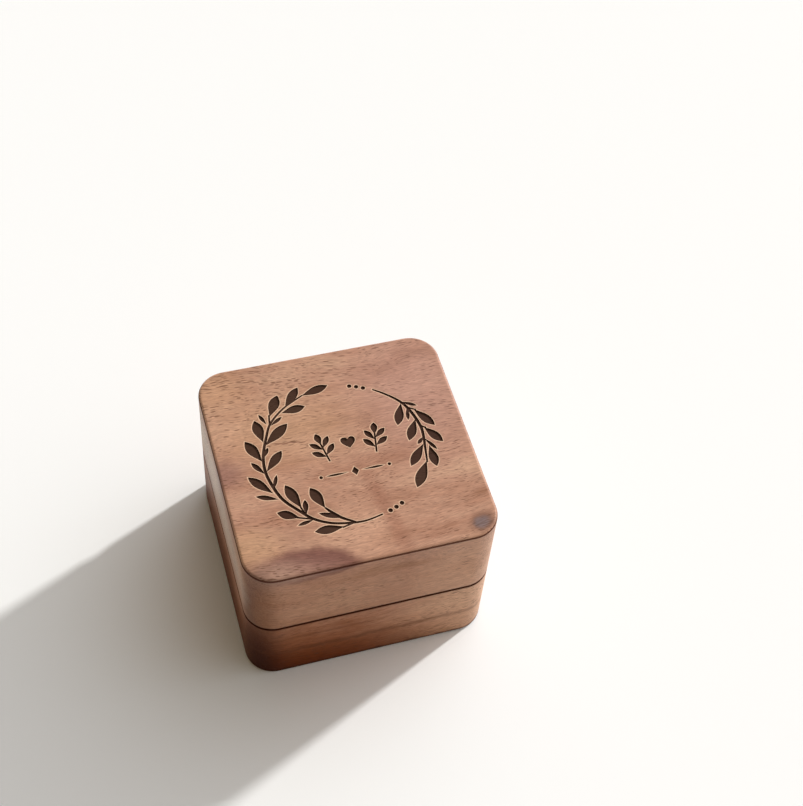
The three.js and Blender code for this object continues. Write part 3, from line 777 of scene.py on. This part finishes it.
def heart_outline(centre, by):
    """A heart, larger by a distance all round, from three curves to a side with their handles as shares of its width
    and height."""
    left = [(-x, y) for x, y in heart_curve_shares[-2::-1]]
    points = [Vector((centre.x + x * (heart_width + 2 * by), centre.y + y * (heart_height + 2 * by)))
              for x, y in [*heart_curve_shares, *left]]
    outline = []
    for index in range(0, len(points) - 1, 3):
        one, two, three, four = points[index:index + 4]
        for step in range(heart_steps):
            t = step / heart_steps
            s = 1 - t
            outline.append(one * s ** 3 + two * 3 * s * s * t + three * 3 * s * t * t + four * t ** 3)
    return outline


def sprig_outlines(foot, lean):
    turn = Matrix.Rotation(math.radians(lean), 2)

    def place(x, y):
        return turn @ Vector((x, y)) * sprig_height + foot

    leaves = [leaf_outline(place(*row[0:2]), place(*row[2:4]), row[4] * sprig_height) for row in sprig_leaf_shares]
    return [stroke_outline(foot, place(0, sprig_stem_share), stalk_width), *leaves]


def rule_outlines(centre):
    lozenge = [centre + Vector(offset_by) for offset_by in (
        (lozenge_width / 2, 0), (0, lozenge_height / 2), (-lozenge_width / 2, 0), (0, -lozenge_height / 2),
    )]
    outlines = [lozenge]
    for side in (-1, 1):
        start = centre + Vector((side * (lozenge_width / 2 + rule_gap), 0))
        end = centre + Vector((side * rule_length / 2, 0))
        dot = centre + Vector((side * (rule_length / 2 + rule_gap + rule_dot_radius), 0))
        outlines += [leaf_outline(start, end, rule_width), round_outline(dot, rule_dot_radius)]
    return outlines


def ornament_outlines(by):
    """The wreath and what it frames, with every outline moved outwards by a distance."""
    outlines = [stem_outline(path) for path in stem_path_shares]
    for path in stalk_shares:
        outlines.append(stroke_outline(*[on_lid(share) for share in path], stalk_width))
    for *root_and_tip, width in leaf_shares:
        outlines.append(leaf_outline(on_lid(root_and_tip[:2]), on_lid(root_and_tip[2:]), width * wreath_radius))
    for angle in dot_angles:
        outlines.append(round_outline(on_lid(direction(math.radians(angle)) * dot_ring_share), dot_radius))
    for share, lean in zip(sprig_foot_shares, (sprig_lean, -sprig_lean)):
        outlines += sprig_outlines(on_lid(share), lean)
    outlines += rule_outlines(on_lid(rule_shares))
    heart = heart_outline(on_lid(heart_shares), by)
    return [heart, *[offset(counter_clockwise(outline), by) for outline in outlines]]


def engraved(block, outlines, depth, wood):
    """Sinks outlines into the top of the lid."""
    shape = bmesh.new()
    for outline in outlines:
        add_stack(shape, [at_height(outline, lid_top - depth), at_height(outline, lid_top + overrun)])
    cut(block, use(from_bmesh("engraving", shape), wood), self_crossing=True)


# The lips carry painted shade along the seam, and the routed top and bottom edges a line of painted shade
LIP_SHADE, EDGE_SHADE = 1, 2  # places of these finishes among a block's materials


def finished_faces(block, index, low, high, outside):
    """Gives another finish to a block's faces between two heights that lie within a band along the outside."""
    for face in block.data.polygons:
        middle = face.center
        past = Vector((abs(middle.x) - box_width / 2, abs(middle.y) - box_depth / 2))
        corner = past + Vector((corner_radius, corner_radius))
        edge = corner.length - corner_radius if min(corner) > 0 else max(past)
        if low < middle.z < high and edge > -outside:
            face.material_index = index


def wooden_blocks():
    # Black walnut, planed, sanded and oiled: pinkish brown with dark pores and a satin sheen; its zones also hold
    # painted shade, painted light and a painted reflection
    lid_wood = walnut("oiled_walnut_lid", lid_board)
    # The same oiled walnut, from a browner part of the board, with painted shade and painted light in its zones
    base_wood = walnut("oiled_walnut_base", base_board, specular=0.04)
    # Walnut scorched by engraving: matt dark brown, with the grain still showing faintly
    burnt = walnut("burnt_walnut", lid_board, "#33211a", 0.93, roughness=0.8, specular=0.04)
    # Painted highlight along the edge of the engraving: paler than the wood round it
    painted_highlight = walnut("walnut_painted_highlight", lid_board, "#ecc9ab", 0.65, roughness=0.6, specular=0.1)
    # Painted shade, partly darker burnished wood, on the line where the routed top and bottom edges meet the sides, and
    # a painted contact shadow at the bottom: reddish brown
    edge = walnut("walnut_edge_painted_shade", lid_board, "#421808", 0.85, roughness=0.6, specular=0.08)
    # Painted shade on the lips of the two rims, where the gap of the seam is dark: nearly black
    lip = walnut("walnut_lip_painted_shade", base_board, "#3c1406", 0.9, roughness=0.8, specular=0.02)
    outside = seam_round + seam_lip_width - hair
    base = rounded_slab("walnut_base", box_width, box_depth, corner_radius, 0, base_top, bottom_round, seam_round,
                        seam_lip_width)
    use(base, base_wood, lip, edge)
    finished_faces(base, EDGE_SHADE, 0, bottom_round, bottom_round)
    finished_faces(base, LIP_SHADE, base_top - seam_round, base_top + hair, outside)
    milled(base, base_wood, over=False)
    lid = rounded_slab("walnut_lid", box_width, box_depth, corner_radius, lid_bottom, lid_top, seam_round, top_round,
                       seam_lip_width)
    use(lid, lid_wood, lip, edge)
    finished_faces(lid, LIP_SHADE, lid_bottom - hair, lid_bottom + seam_round, outside)
    finished_faces(lid, EDGE_SHADE, lid_top - top_round, lid_top - top_round * (1 - edge_shade_share), top_round)
    milled(lid, lid_wood, over=True)
    engraved(lid, ornament_outlines(painted_highlight_edge), painted_highlight_edge_depth, painted_highlight)
    engraved(lid, ornament_outlines(0), engraving_depth, burnt)
    placed(smoothed(base), "base", "walnut", "base_block")
    placed(smoothed(lid), "lid", "walnut", "lid_block")


# Hinges

def brushed_brass():
    """Brass, drawn and then brushed along the hinge: warm yellow, a little stained, with a soft lengthwise shine.
    The brush marks are 0.1 mm apart and several millimetres long."""
    return finish(
        "brushed_brass", {"Metallic": 1.0},
        (NOISE, (0.45, 0.45, 0.45), {"Detail": 3.0}), (0.35, "#c6a25c"), (0.7, "#dfc17c"),
        (NOISE, (0.3, 9, 9), {"Detail": 2.0}), gloss=(0.24, 0.42), relief=(0.2, 0.01),
    )


def bright_metal(name, dark, light, gloss, marks_per_mm):
    """A plated or ground metal: even in colour, with fine marks that break its reflections."""
    marks = (NOISE, marks_per_mm, {"Detail": 2.0})
    return finish(name, {"Metallic": 1.0}, marks, (0.3, dark), (0.7, light), gloss=gloss)


def brass_plate(name, outline, low, high):
    """A plate with its long and short edges eased."""
    narrow = offset(outline, -brass_ease)
    return stack(name, [
        at_height(narrow, low), at_height(outline, low + brass_ease), at_height(outline, high - brass_ease),
        at_height(narrow, high),
    ])


def countersunk_hole(place):
    head = screw_head_radius + screw_clearance
    low = base_top - screw_head_depth
    return stack("hole", [ring_of(radius, height, place, 40) for radius, height in (
        (screw_hole_radius, low - overrun), (screw_hole_radius, low), (head, base_top), (head, base_top + overrun),
    )])


def hinge_leaf(name, x, knuckles):
    """A leaf as it lies in the base: a plate that is let in flush, with its knuckles rolled round the pin."""
    half = hinge_length / 2
    low = base_top - leaf_thickness
    inner = hinge_y - leaf_width
    leaf = brass_plate(name, rectangle(x - half, inner, x + half, hinge_y - notch_depth), low, base_top)
    for start, end in knuckles:
        outline = rectangle(x + start, inner + brass_ease, x + end, hinge_y)
        cut(leaf, brass_plate("tab", outline, low + tab_sink, base_top - tab_sink), "UNION")
        cut(leaf, rod("knuckle", knuckle_radius, end - start, x + (start + end) / 2, brass_ease), "UNION")
    cut(leaf, rod("bore", pin_radius + pin_clearance, hinge_length + overrun, x, 0, steps=32))
    for place in screw_places(x):
        cut(leaf, countersunk_hole(place))
    return leaf


def hinges():
    brass = brushed_brass()
    steel = bright_metal("ground_steel", "#7f8080", "#a9aaaa", (0.28, 0.4), (0.6, 7, 7))
    inner = middle_knuckle / 2
    outer = hinge_length / 2
    for side, x in (("left", -hinge_x), ("right", hinge_x)):
        base_leaf = hinge_leaf(
            f"brass_base_leaf_{side}", x, [(-outer, outer_knuckle - outer), (outer - outer_knuckle, outer)],
        )
        lid_leaf = turned_over(hinge_leaf(f"brass_lid_leaf_{side}", -x, [(-inner, inner)]))
        placed(smoothed(use(base_leaf, brass)), "base", "brass", f"hinge_base_leaf_{side}")
        placed(smoothed(use(lid_leaf, brass)), "lid", "brass", f"hinge_lid_leaf_{side}")
        pin = rod(f"steel_pin_{side}", pin_radius, hinge_length + pin_head_length, x, pin_ease)
        head_x = (hinge_length + pin_head_length) / 2 + pin_head_gap
        for place in (-head_x, head_x):
            cut(pin, rod("head", pin_head_radius, pin_head_length, x + place, pin_head_ease), "UNION")
        placed(smoothed(use(pin, steel)), "base", "steel_pin", f"hinge_pin_{side}")


# Screws and magnets, each kind made by one tree of nodes and set where it repeats

def turned_form(tree, levels, sides):
    """A closed turned form, from its lowest level to its highest. A level is a radius and two lengths, and its height
    is the first length less the second."""
    heights = [add(tree, MATH, [more, less], "SUBTRACT") for _, more, less in levels]
    radii = [radius for radius, _, _ in levels]
    forms = []
    for index, low in enumerate(heights[:-1]):
        depth = add(tree, MATH, [heights[index + 1], low], "SUBTRACT")
        forms.append((low, add(tree, "GeometryNodeMeshCone", {
            "Vertices": sides, "Radius Top": radii[index + 1], "Radius Bottom": radii[index], "Depth": depth,
        }, fill_type="NONE")))
    for end in (0, -1):
        cap = add(tree, "GeometryNodeMeshCircle", {"Vertices": sides, "Radius": radii[end]}, fill_type="NGON")
        forms.append((heights[end], cap if end else add(tree, "GeometryNodeFlipFaces", {"Mesh": cap})))
    joined = tree.nodes.new("GeometryNodeJoinGeometry")
    for height, form in forms:
        lift = add(tree, COMBINE, {"Z": height})
        lifted = add(tree, "GeometryNodeTransform", {"Geometry": form, "Translation": lift})
        tree.links.new(lifted, joined.inputs[0])
    return add(tree, "GeometryNodeMergeByDistance", {"Geometry": joined.outputs[0], "Distance": weld_distance})


def socketed_tree(name, sizes):
    """An empty tree with a geometry input, a facing, a material and named sizes."""
    tree = bpy.data.node_groups.new(name, "GeometryNodeTree")
    inputs = {"Places": "Geometry", "Facing": "Vector", "Finish": "Material", **dict.fromkeys(sizes, "Float")}
    for socket, kind in inputs.items():
        tree.interface.new_socket(socket, in_out="INPUT", socket_type="NodeSocket" + kind)
    tree.interface.new_socket("Pieces", in_out="OUTPUT", socket_type="NodeSocketGeometry")
    given = tree.nodes.new("NodeGroupInput")
    return tree, {socket.name: socket for socket in given.outputs if socket.name}


def set_out(tree, given, form, turn):
    """Sets a form on every place, turned and facing as asked, as one mesh with its finish."""
    points = add(tree, "GeometryNodeMeshToPoints", {"Mesh": given["Places"]})
    set_pieces = add(tree, "GeometryNodeInstanceOnPoints", {"Points": points, "Instance": form, "Rotation": turn})
    faced = add(tree, "GeometryNodeRotateInstances", {
        "Instances": set_pieces, "Rotation": given["Facing"], "Local Space": True,
    })
    real = add(tree, "GeometryNodeRealizeInstances", {"Geometry": faced})
    finished = add(tree, "GeometryNodeSetMaterial", {"Geometry": real, "Material": given["Finish"]})
    output = tree.nodes.new("NodeGroupOutput")
    tree.links.new(finished, output.inputs[0])
    return tree


def screw_tree():
    """Countersunk screws with a straight slot, each left at its own turn by the driver."""
    tree, given = socketed_tree("brass_screws", [
        "Length", "Tip", "Shank Radius", "Head Radius", "Head Depth", "Rim", "Slot Width", "Slot Depth",
    ])
    rim_radius = add(tree, MATH, [given["Head Radius"], given["Rim"]], "SUBTRACT")
    form = turned_form(tree, [
        (screw_point_radius, 0.0, given["Length"]),
        (given["Shank Radius"], given["Tip"], given["Length"]),
        (given["Shank Radius"], 0.0, given["Head Depth"]),
        (given["Head Radius"], 0.0, given["Rim"]),
        (rim_radius, 0.0, 0.0),
    ], 40)
    # The slot is cut longer than the head and from above it
    slot_size = add(tree, COMBINE, {
        "X": given["Slot Width"],
        "Y": add(tree, MATH, [given["Head Radius"], 3.0], "MULTIPLY"),
        "Z": add(tree, MATH, [given["Slot Depth"], 2.0], "MULTIPLY"),
    })
    slotted = add(tree, "GeometryNodeMeshBoolean", {
        "Mesh 1": form, "Mesh 2": add(tree, "GeometryNodeMeshCube", {"Size": slot_size}),
    }, "DIFFERENCE", solver="EXACT")
    turn = add(tree, "FunctionNodeRandomValue", {
        0: (0.0, 0.0, -driver_turn), 1: (0.0, 0.0, driver_turn), "Seed": 7,
    }, data_type="FLOAT_VECTOR")
    return set_out(tree, given, slotted, turn)


def magnet_tree():
    """Disc magnets with an eased rim."""
    tree, given = socketed_tree("nickel_magnets", ["Radius", "Thickness", "Rim"])
    rim_radius = add(tree, MATH, [given["Radius"], given["Rim"]], "SUBTRACT")
    form = turned_form(tree, [
        (rim_radius, 0.0, given["Thickness"]),
        (given["Radius"], given["Rim"], given["Thickness"]),
        (given["Radius"], 0.0, given["Rim"]),
        (rim_radius, 0.0, 0.0),
    ], 64)
    return set_out(tree, given, form, (0.0, 0.0, 0.0))


def set_by_nodes(name, tree, places, facing, metal, sizes):
    """Runs a tree on a list of places and keeps the result as a plain mesh."""
    mesh = bpy.data.meshes.new(name)
    mesh.from_pydata(places, [], [])
    piece = new_object(name, mesh)
    change = piece.modifiers.new("set out", "NODES")
    change.node_group = tree
    values = {"Facing": facing, "Finish": metal, **sizes}
    for item in tree.interface.items_tree:
        if item.in_out == "INPUT" and item.name in values:
            change[item.identifier] = values[item.name]
    return smoothed(baked(piece))


def fastenings():
    screws = screw_tree()
    magnets = magnet_tree()
    brass = bright_metal("turned_brass", "#b08c4a", "#cfae6c", (0.22, 0.36), (5, 5, 5))
    nickel = bright_metal("nickel_plate", "#b4b2ad", "#c3c1bc", (0.16, 0.24), (9, 9, 9))
    sides = (("left", -hinge_x), ("right", hinge_x))
    for body, height, facing in (("base", base_top, 0.0), ("lid", 2 * seam_height - base_top, HALF_TURN)):
        over = (0.0, facing, 0.0)
        places = [(*place, height) for _, x in sides for place in screw_places(x)]
        piece = set_by_nodes(f"{body}_screws", screws, places, over, brass, {
            "Length": screw_length, "Tip": screw_tip, "Shank Radius": screw_shank_radius,
            "Head Radius": screw_head_radius, "Head Depth": screw_head_depth, "Rim": screw_rim,
            "Slot Width": slot_width, "Slot Depth": slot_depth,
        })
        nodes = [f"{body}_screw_{side}_{letter}" for side, _ in sides for letter in "ab"]
        placed(piece, body, "brass", *nodes)
        recessed = height + (magnet_recess if facing else -magnet_recess)
        places = [(x, magnet_y, recessed) for x in (-magnet_x, magnet_x)]
        piece = set_by_nodes(f"{body}_magnets", magnets, places, over, nickel, {
            "Radius": magnet_radius, "Thickness": magnet_thickness, "Rim": magnet_rim,
        })
        placed(piece, body, "nickel_magnet", f"{body}_magnet_left", f"{body}_magnet_right")


# Ring cushion and lid lining

def cotton_velvet():
    """Ivory cotton velvet, woven and cut: a matt pile that lightens at grazing angles and shows where it was
    stroked the other way. Its tufts are 0.15 mm apart."""
    return finish(
        "cut_velvet", {
            "Roughness": 0.95, "Specular IOR Level": 0.1,
            "Sheen Weight": 0.6, "Sheen Roughness": 0.45, "Sheen Tint": linear("#fff6e6"),
        },
        (NOISE, (0.16, 0.16, 0.16), {"Detail": 2.0, "Distortion": 0.6}), (0.36, "#d8ccb8"), (0.66, "#e9e0d0"),
        (NOISE, (6.5, 6.5, 6.5), {"Detail": 2.0}), shade=(0.9, 1.05), relief=(0.4, 0.06),
    )


def cut_foam():
    """Polyurethane foam, cut from the block: matt and pale, with open cells."""
    return finish(
        "cut_foam", {"Roughness": 1.0, "Specular IOR Level": 0.1},
        (CELLS, (2.2, 2.2, 2.2), {}), (0.05, "#cfc8b6"), (0.5, "#efe9dc"), relief=(0.7, 0.2),
    )


def grey_board():
    """Uncoated card, pressed from recycled fibre: buff grey with darker flecks."""
    return finish(
        "pressed_card", {"Roughness": 0.92, "Specular IOR Level": 0.2},
        (NOISE, (1.6, 1.6, 1.6), {"Detail": 4.0, "Roughness": 0.7}), (0.34, "#8f8271"), (0.5, "#b7a489"),
        relief=(0.3, 0.05),
    )


def section_of_roll(inset):
    """The outline of a roll across its length, from its foot: sides that swell and a round crown."""
    half = roll_width / 2 - inset
    foot = half - roll_draw_in
    shoulder = roll_height - roll_width / 2
    sides = []
    for step in range(side_steps):
        t = step / side_steps
        sides.append(Vector((
            foot * (1 - t) ** 2 + half * 2 * t * (1 - t) + half * t * t, shoulder * t * (1 - t) + shoulder * t * t,
        )))
    crown = [direction(HALF_TURN * step / crown_steps) * half + Vector((0, shoulder))
             for step in range(crown_steps + 1)]
    return [*sides, *crown, *[Vector((-point.x, point.y)) for point in reversed(sides)]]


def roll_form(name, y, inset):
    """A roll lying along X with its ends rounded, fitted to the rounded corners of the hollow."""
    half = roll_length / 2 - inset
    foot = roll_foot + inset * foot_lift
    rings = []
    for side in (-1, 1):
        ends = []
        for step in range(end_steps + 1):
            turn = QUARTER_TURN * step / end_steps
            section = section_of_roll(inset + roll_end_round * (1 - math.sin(turn)))
            x = side * (half - roll_end_round * (1 - math.cos(turn)))
            ends.append([(x, y + point.x, foot + point.y) for point in section])
        rings += ends if side < 0 else ends[::-1]
    form = stack(name, rings)
    gap = soft_clearance + inset
    room = rounded_slab(
        "room", hollow_width - 2 * (gap - hair), hollow_depth - 2 * (gap - hair), hollow_corner_radius - gap + hair,
        0, base_top,
    )
    return cut(form, room, "INTERSECT")


def pad_form(name, inset):
    """A pad under the lid's top, flat above and crowned below."""
    gap = soft_clearance + inset
    top = ceiling - card_thickness - inset * foot_lift
    low = ceiling - card_thickness - pad_thickness + inset
    crown = min(pad_crown, top - low - hair)
    levels = [(pad_crown_width * (1 - math.sin(turn)), low + crown * (1 - math.cos(turn)))
              for turn in (QUARTER_TURN * step / side_steps for step in range(side_steps + 1))]
    levels.append((0, top))
    return stack(name, [
        at_height(rounded_outline(
            hollow_width - 2 * (gap + narrow), hollow_depth - 2 * (gap + narrow),
            max(hollow_corner_radius - gap - narrow, least_corner), 12,
        ), height)
        for narrow, height in levels
    ])


def stuffed(piece, pressure, held, slack=0.0):
    """Fills a velvet cover by cloth simulation. It runs at ten times the size, because cloth is stiff when it is
    small. The part of the cover that is glued down is held, and no point moves far."""
    scale = 10 * MM
    piece.data.transform(Matrix.Scale(scale, 4))
    settle(piece.modifiers.new("even faces", "REMESH"), mode="VOXEL", voxel_size=velvet_voxel * scale)
    baked(piece)
    before = [vertex.co.copy() for vertex in piece.data.vertices]
    group = piece.vertex_groups.new(name="glued")
    group.add([index for index, point in enumerate(before) if held(point / scale)], 1.0, "REPLACE")
    change = piece.modifiers.new("velvet", "CLOTH")
    settle(
        change.settings, quality=6, mass=0.4, tension_stiffness=12, compression_stiffness=12, bending_stiffness=4,
        use_pressure=True, uniform_pressure_force=pressure, shrink_min=-slack, vertex_group_mass="glued",
    )
    change.settings.effector_weights.gravity = 0
    change.collision_settings.use_collision = False
    change.point_cache.frame_end = stuffing_frames
    for frame_number in range(1, stuffing_frames + 1):
        bpy.context.scene.frame_set(frame_number)
    baked(piece)
    for vertex, start in zip(piece.data.vertices, before):
        moved = vertex.co - start
        if moved.length > most_swell * scale:
            vertex.co = start + moved.normalized() * most_swell * scale
    bpy.context.scene.frame_set(1)
    piece.data.transform(Matrix.Scale(1 / scale, 4))
    piece.vertex_groups.clear()
    return piece


def finely(piece):
    """Evens out the folds that are finer than velvet can make, and then rounds the faces."""
    settle(piece.modifiers.new("even", "SMOOTH"), factor=0.5, iterations=5)
    settle(piece.modifiers.new("round", "SUBSURF"), levels=1, render_levels=1)
    baked(piece)
    piece.data.shade_smooth()
    return piece


def cushions():
    velvet, foam, board = cotton_velvet(), cut_foam(), grey_board()
    core_inset = velvet_thickness + foam_clearance
    for index, label in enumerate(("front", "middle", "rear")):
        y = (index - 1) * (roll_width + ring_slot)
        cover = roll_form(f"velvet_roll_{label}", y, cover_inset)
        stuffed(cover, pressure=4, held=lambda point: point.z < roll_foot + glued_height)
        placed(use(finely(cover), velvet), "base", "velvet", f"ring_roll_velvet_{label}")
        core = roll_form(f"foam_roll_{label}", y, core_inset)
        placed(use(smoothed(core, angle=50), foam), "base", "foam", f"ring_roll_foam_{label}")
    cover = pad_form("velvet_lid_pad", cover_inset)
    stuffed(cover, pressure=3, held=lambda point: point.z > ceiling - card_thickness - glued_depth, slack=0.03)
    placed(use(finely(cover), velvet), "lid", "velvet", "lid_pad_velvet")
    core = pad_form("foam_lid_pad", core_inset)
    placed(use(smoothed(core, angle=50), foam), "lid", "foam", "lid_pad_foam")
    for node in ("cushion_card", "lid_pad_card"):
        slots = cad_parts[node].material_slots
        for index in range(len(slots)):
            slots[index].material = board


# Room, light and camera

def stage():
    shape = bmesh.new()
    bmesh.ops.create_grid(shape, x_segments=1, y_segments=1, size=2.4)
    floor = from_bmesh("floor", shape)
    material, tree = new_material("matt_white_table")
    shader = add(tree, PRINCIPLED, {"Base Color": linear("#fbfcfd"), "Roughness": 0.7, "Specular IOR Level": 0.1})
    add(tree, OUTPUT, {"Surface": shader})
    use(floor, material)

    # The room is dim and warm at the left and bright towards the window at the right, as the shadow shows
    world = bpy.data.worlds.new("white_room")
    bpy.context.scene.world = world
    world.use_nodes = True
    tree = world.node_tree
    tree.nodes.clear()
    path = tree.nodes.new("ShaderNodeLightPath")
    seen = path.outputs["Is Camera Ray"]
    for ray in ("Is Glossy Ray", "Is Transmission Ray"):
        seen = add(tree, MATH, [seen, path.outputs[ray]], "MAXIMUM")
    to_window = add(tree, VECTOR_MATH, [
        add(tree, COORDINATES, out="Generated"), Vector((0.8, 0.32, 0.5)).normalized(),
    ], "DOT_PRODUCT", out="Value")
    room = add(tree, RAMP, [to_window], ramp=[
        (0.25, (0.2, 0.155, 0.09, 1)), (0.6, (0.56, 0.55, 0.53, 1)), (1.0, (1.75, 1.78, 1.84, 1)),
    ])
    ambient = add(tree, "ShaderNodeBackground", {"Color": room, "Strength": 1.0})
    white = add(tree, "ShaderNodeBackground", {"Color": linear("#ffffff"), "Strength": 1.0})
    both = add(tree, "ShaderNodeMixShader", [seen, ambient, white])
    add(tree, "ShaderNodeOutputWorld", {"Surface": both})

    sun = bpy.data.lights.new("window_sun", "SUN")
    lamp = new_object("window_sun", settle(sun, energy=2.78, angle=math.radians(3.2), color=linear("#fffefb")[:3]))
    towards = Vector((-0.91, -0.41, -math.tan(math.radians(30)))).normalized()
    lamp.rotation_euler = towards.to_track_quat("-Z", "Y").to_euler()


def camera():
    """The view that was fitted to the box's outline and edges in the photo."""
    data = bpy.data.cameras.new("camera")
    holder = new_object("camera", settle(data, lens=65.6, sensor_width=36, clip_start=0.01, clip_end=20))
    right = Vector((0.95872, -0.27806, 0.05952))
    down = Vector((-0.18866, -0.77858, -0.59852))
    turn = Matrix((right, -down, right.cross(down) * -1)).transposed()
    holder.matrix_world = Matrix.Translation(Vector((-58.399, -188.678, 326.749)) * MM) @ turn.to_4x4()
    bpy.context.scene.camera = holder


bpy.context.scene.view_settings.view_transform = "Standard"
camera()
stage()
wooden_blocks()
hinges()
fastenings()
cushions()
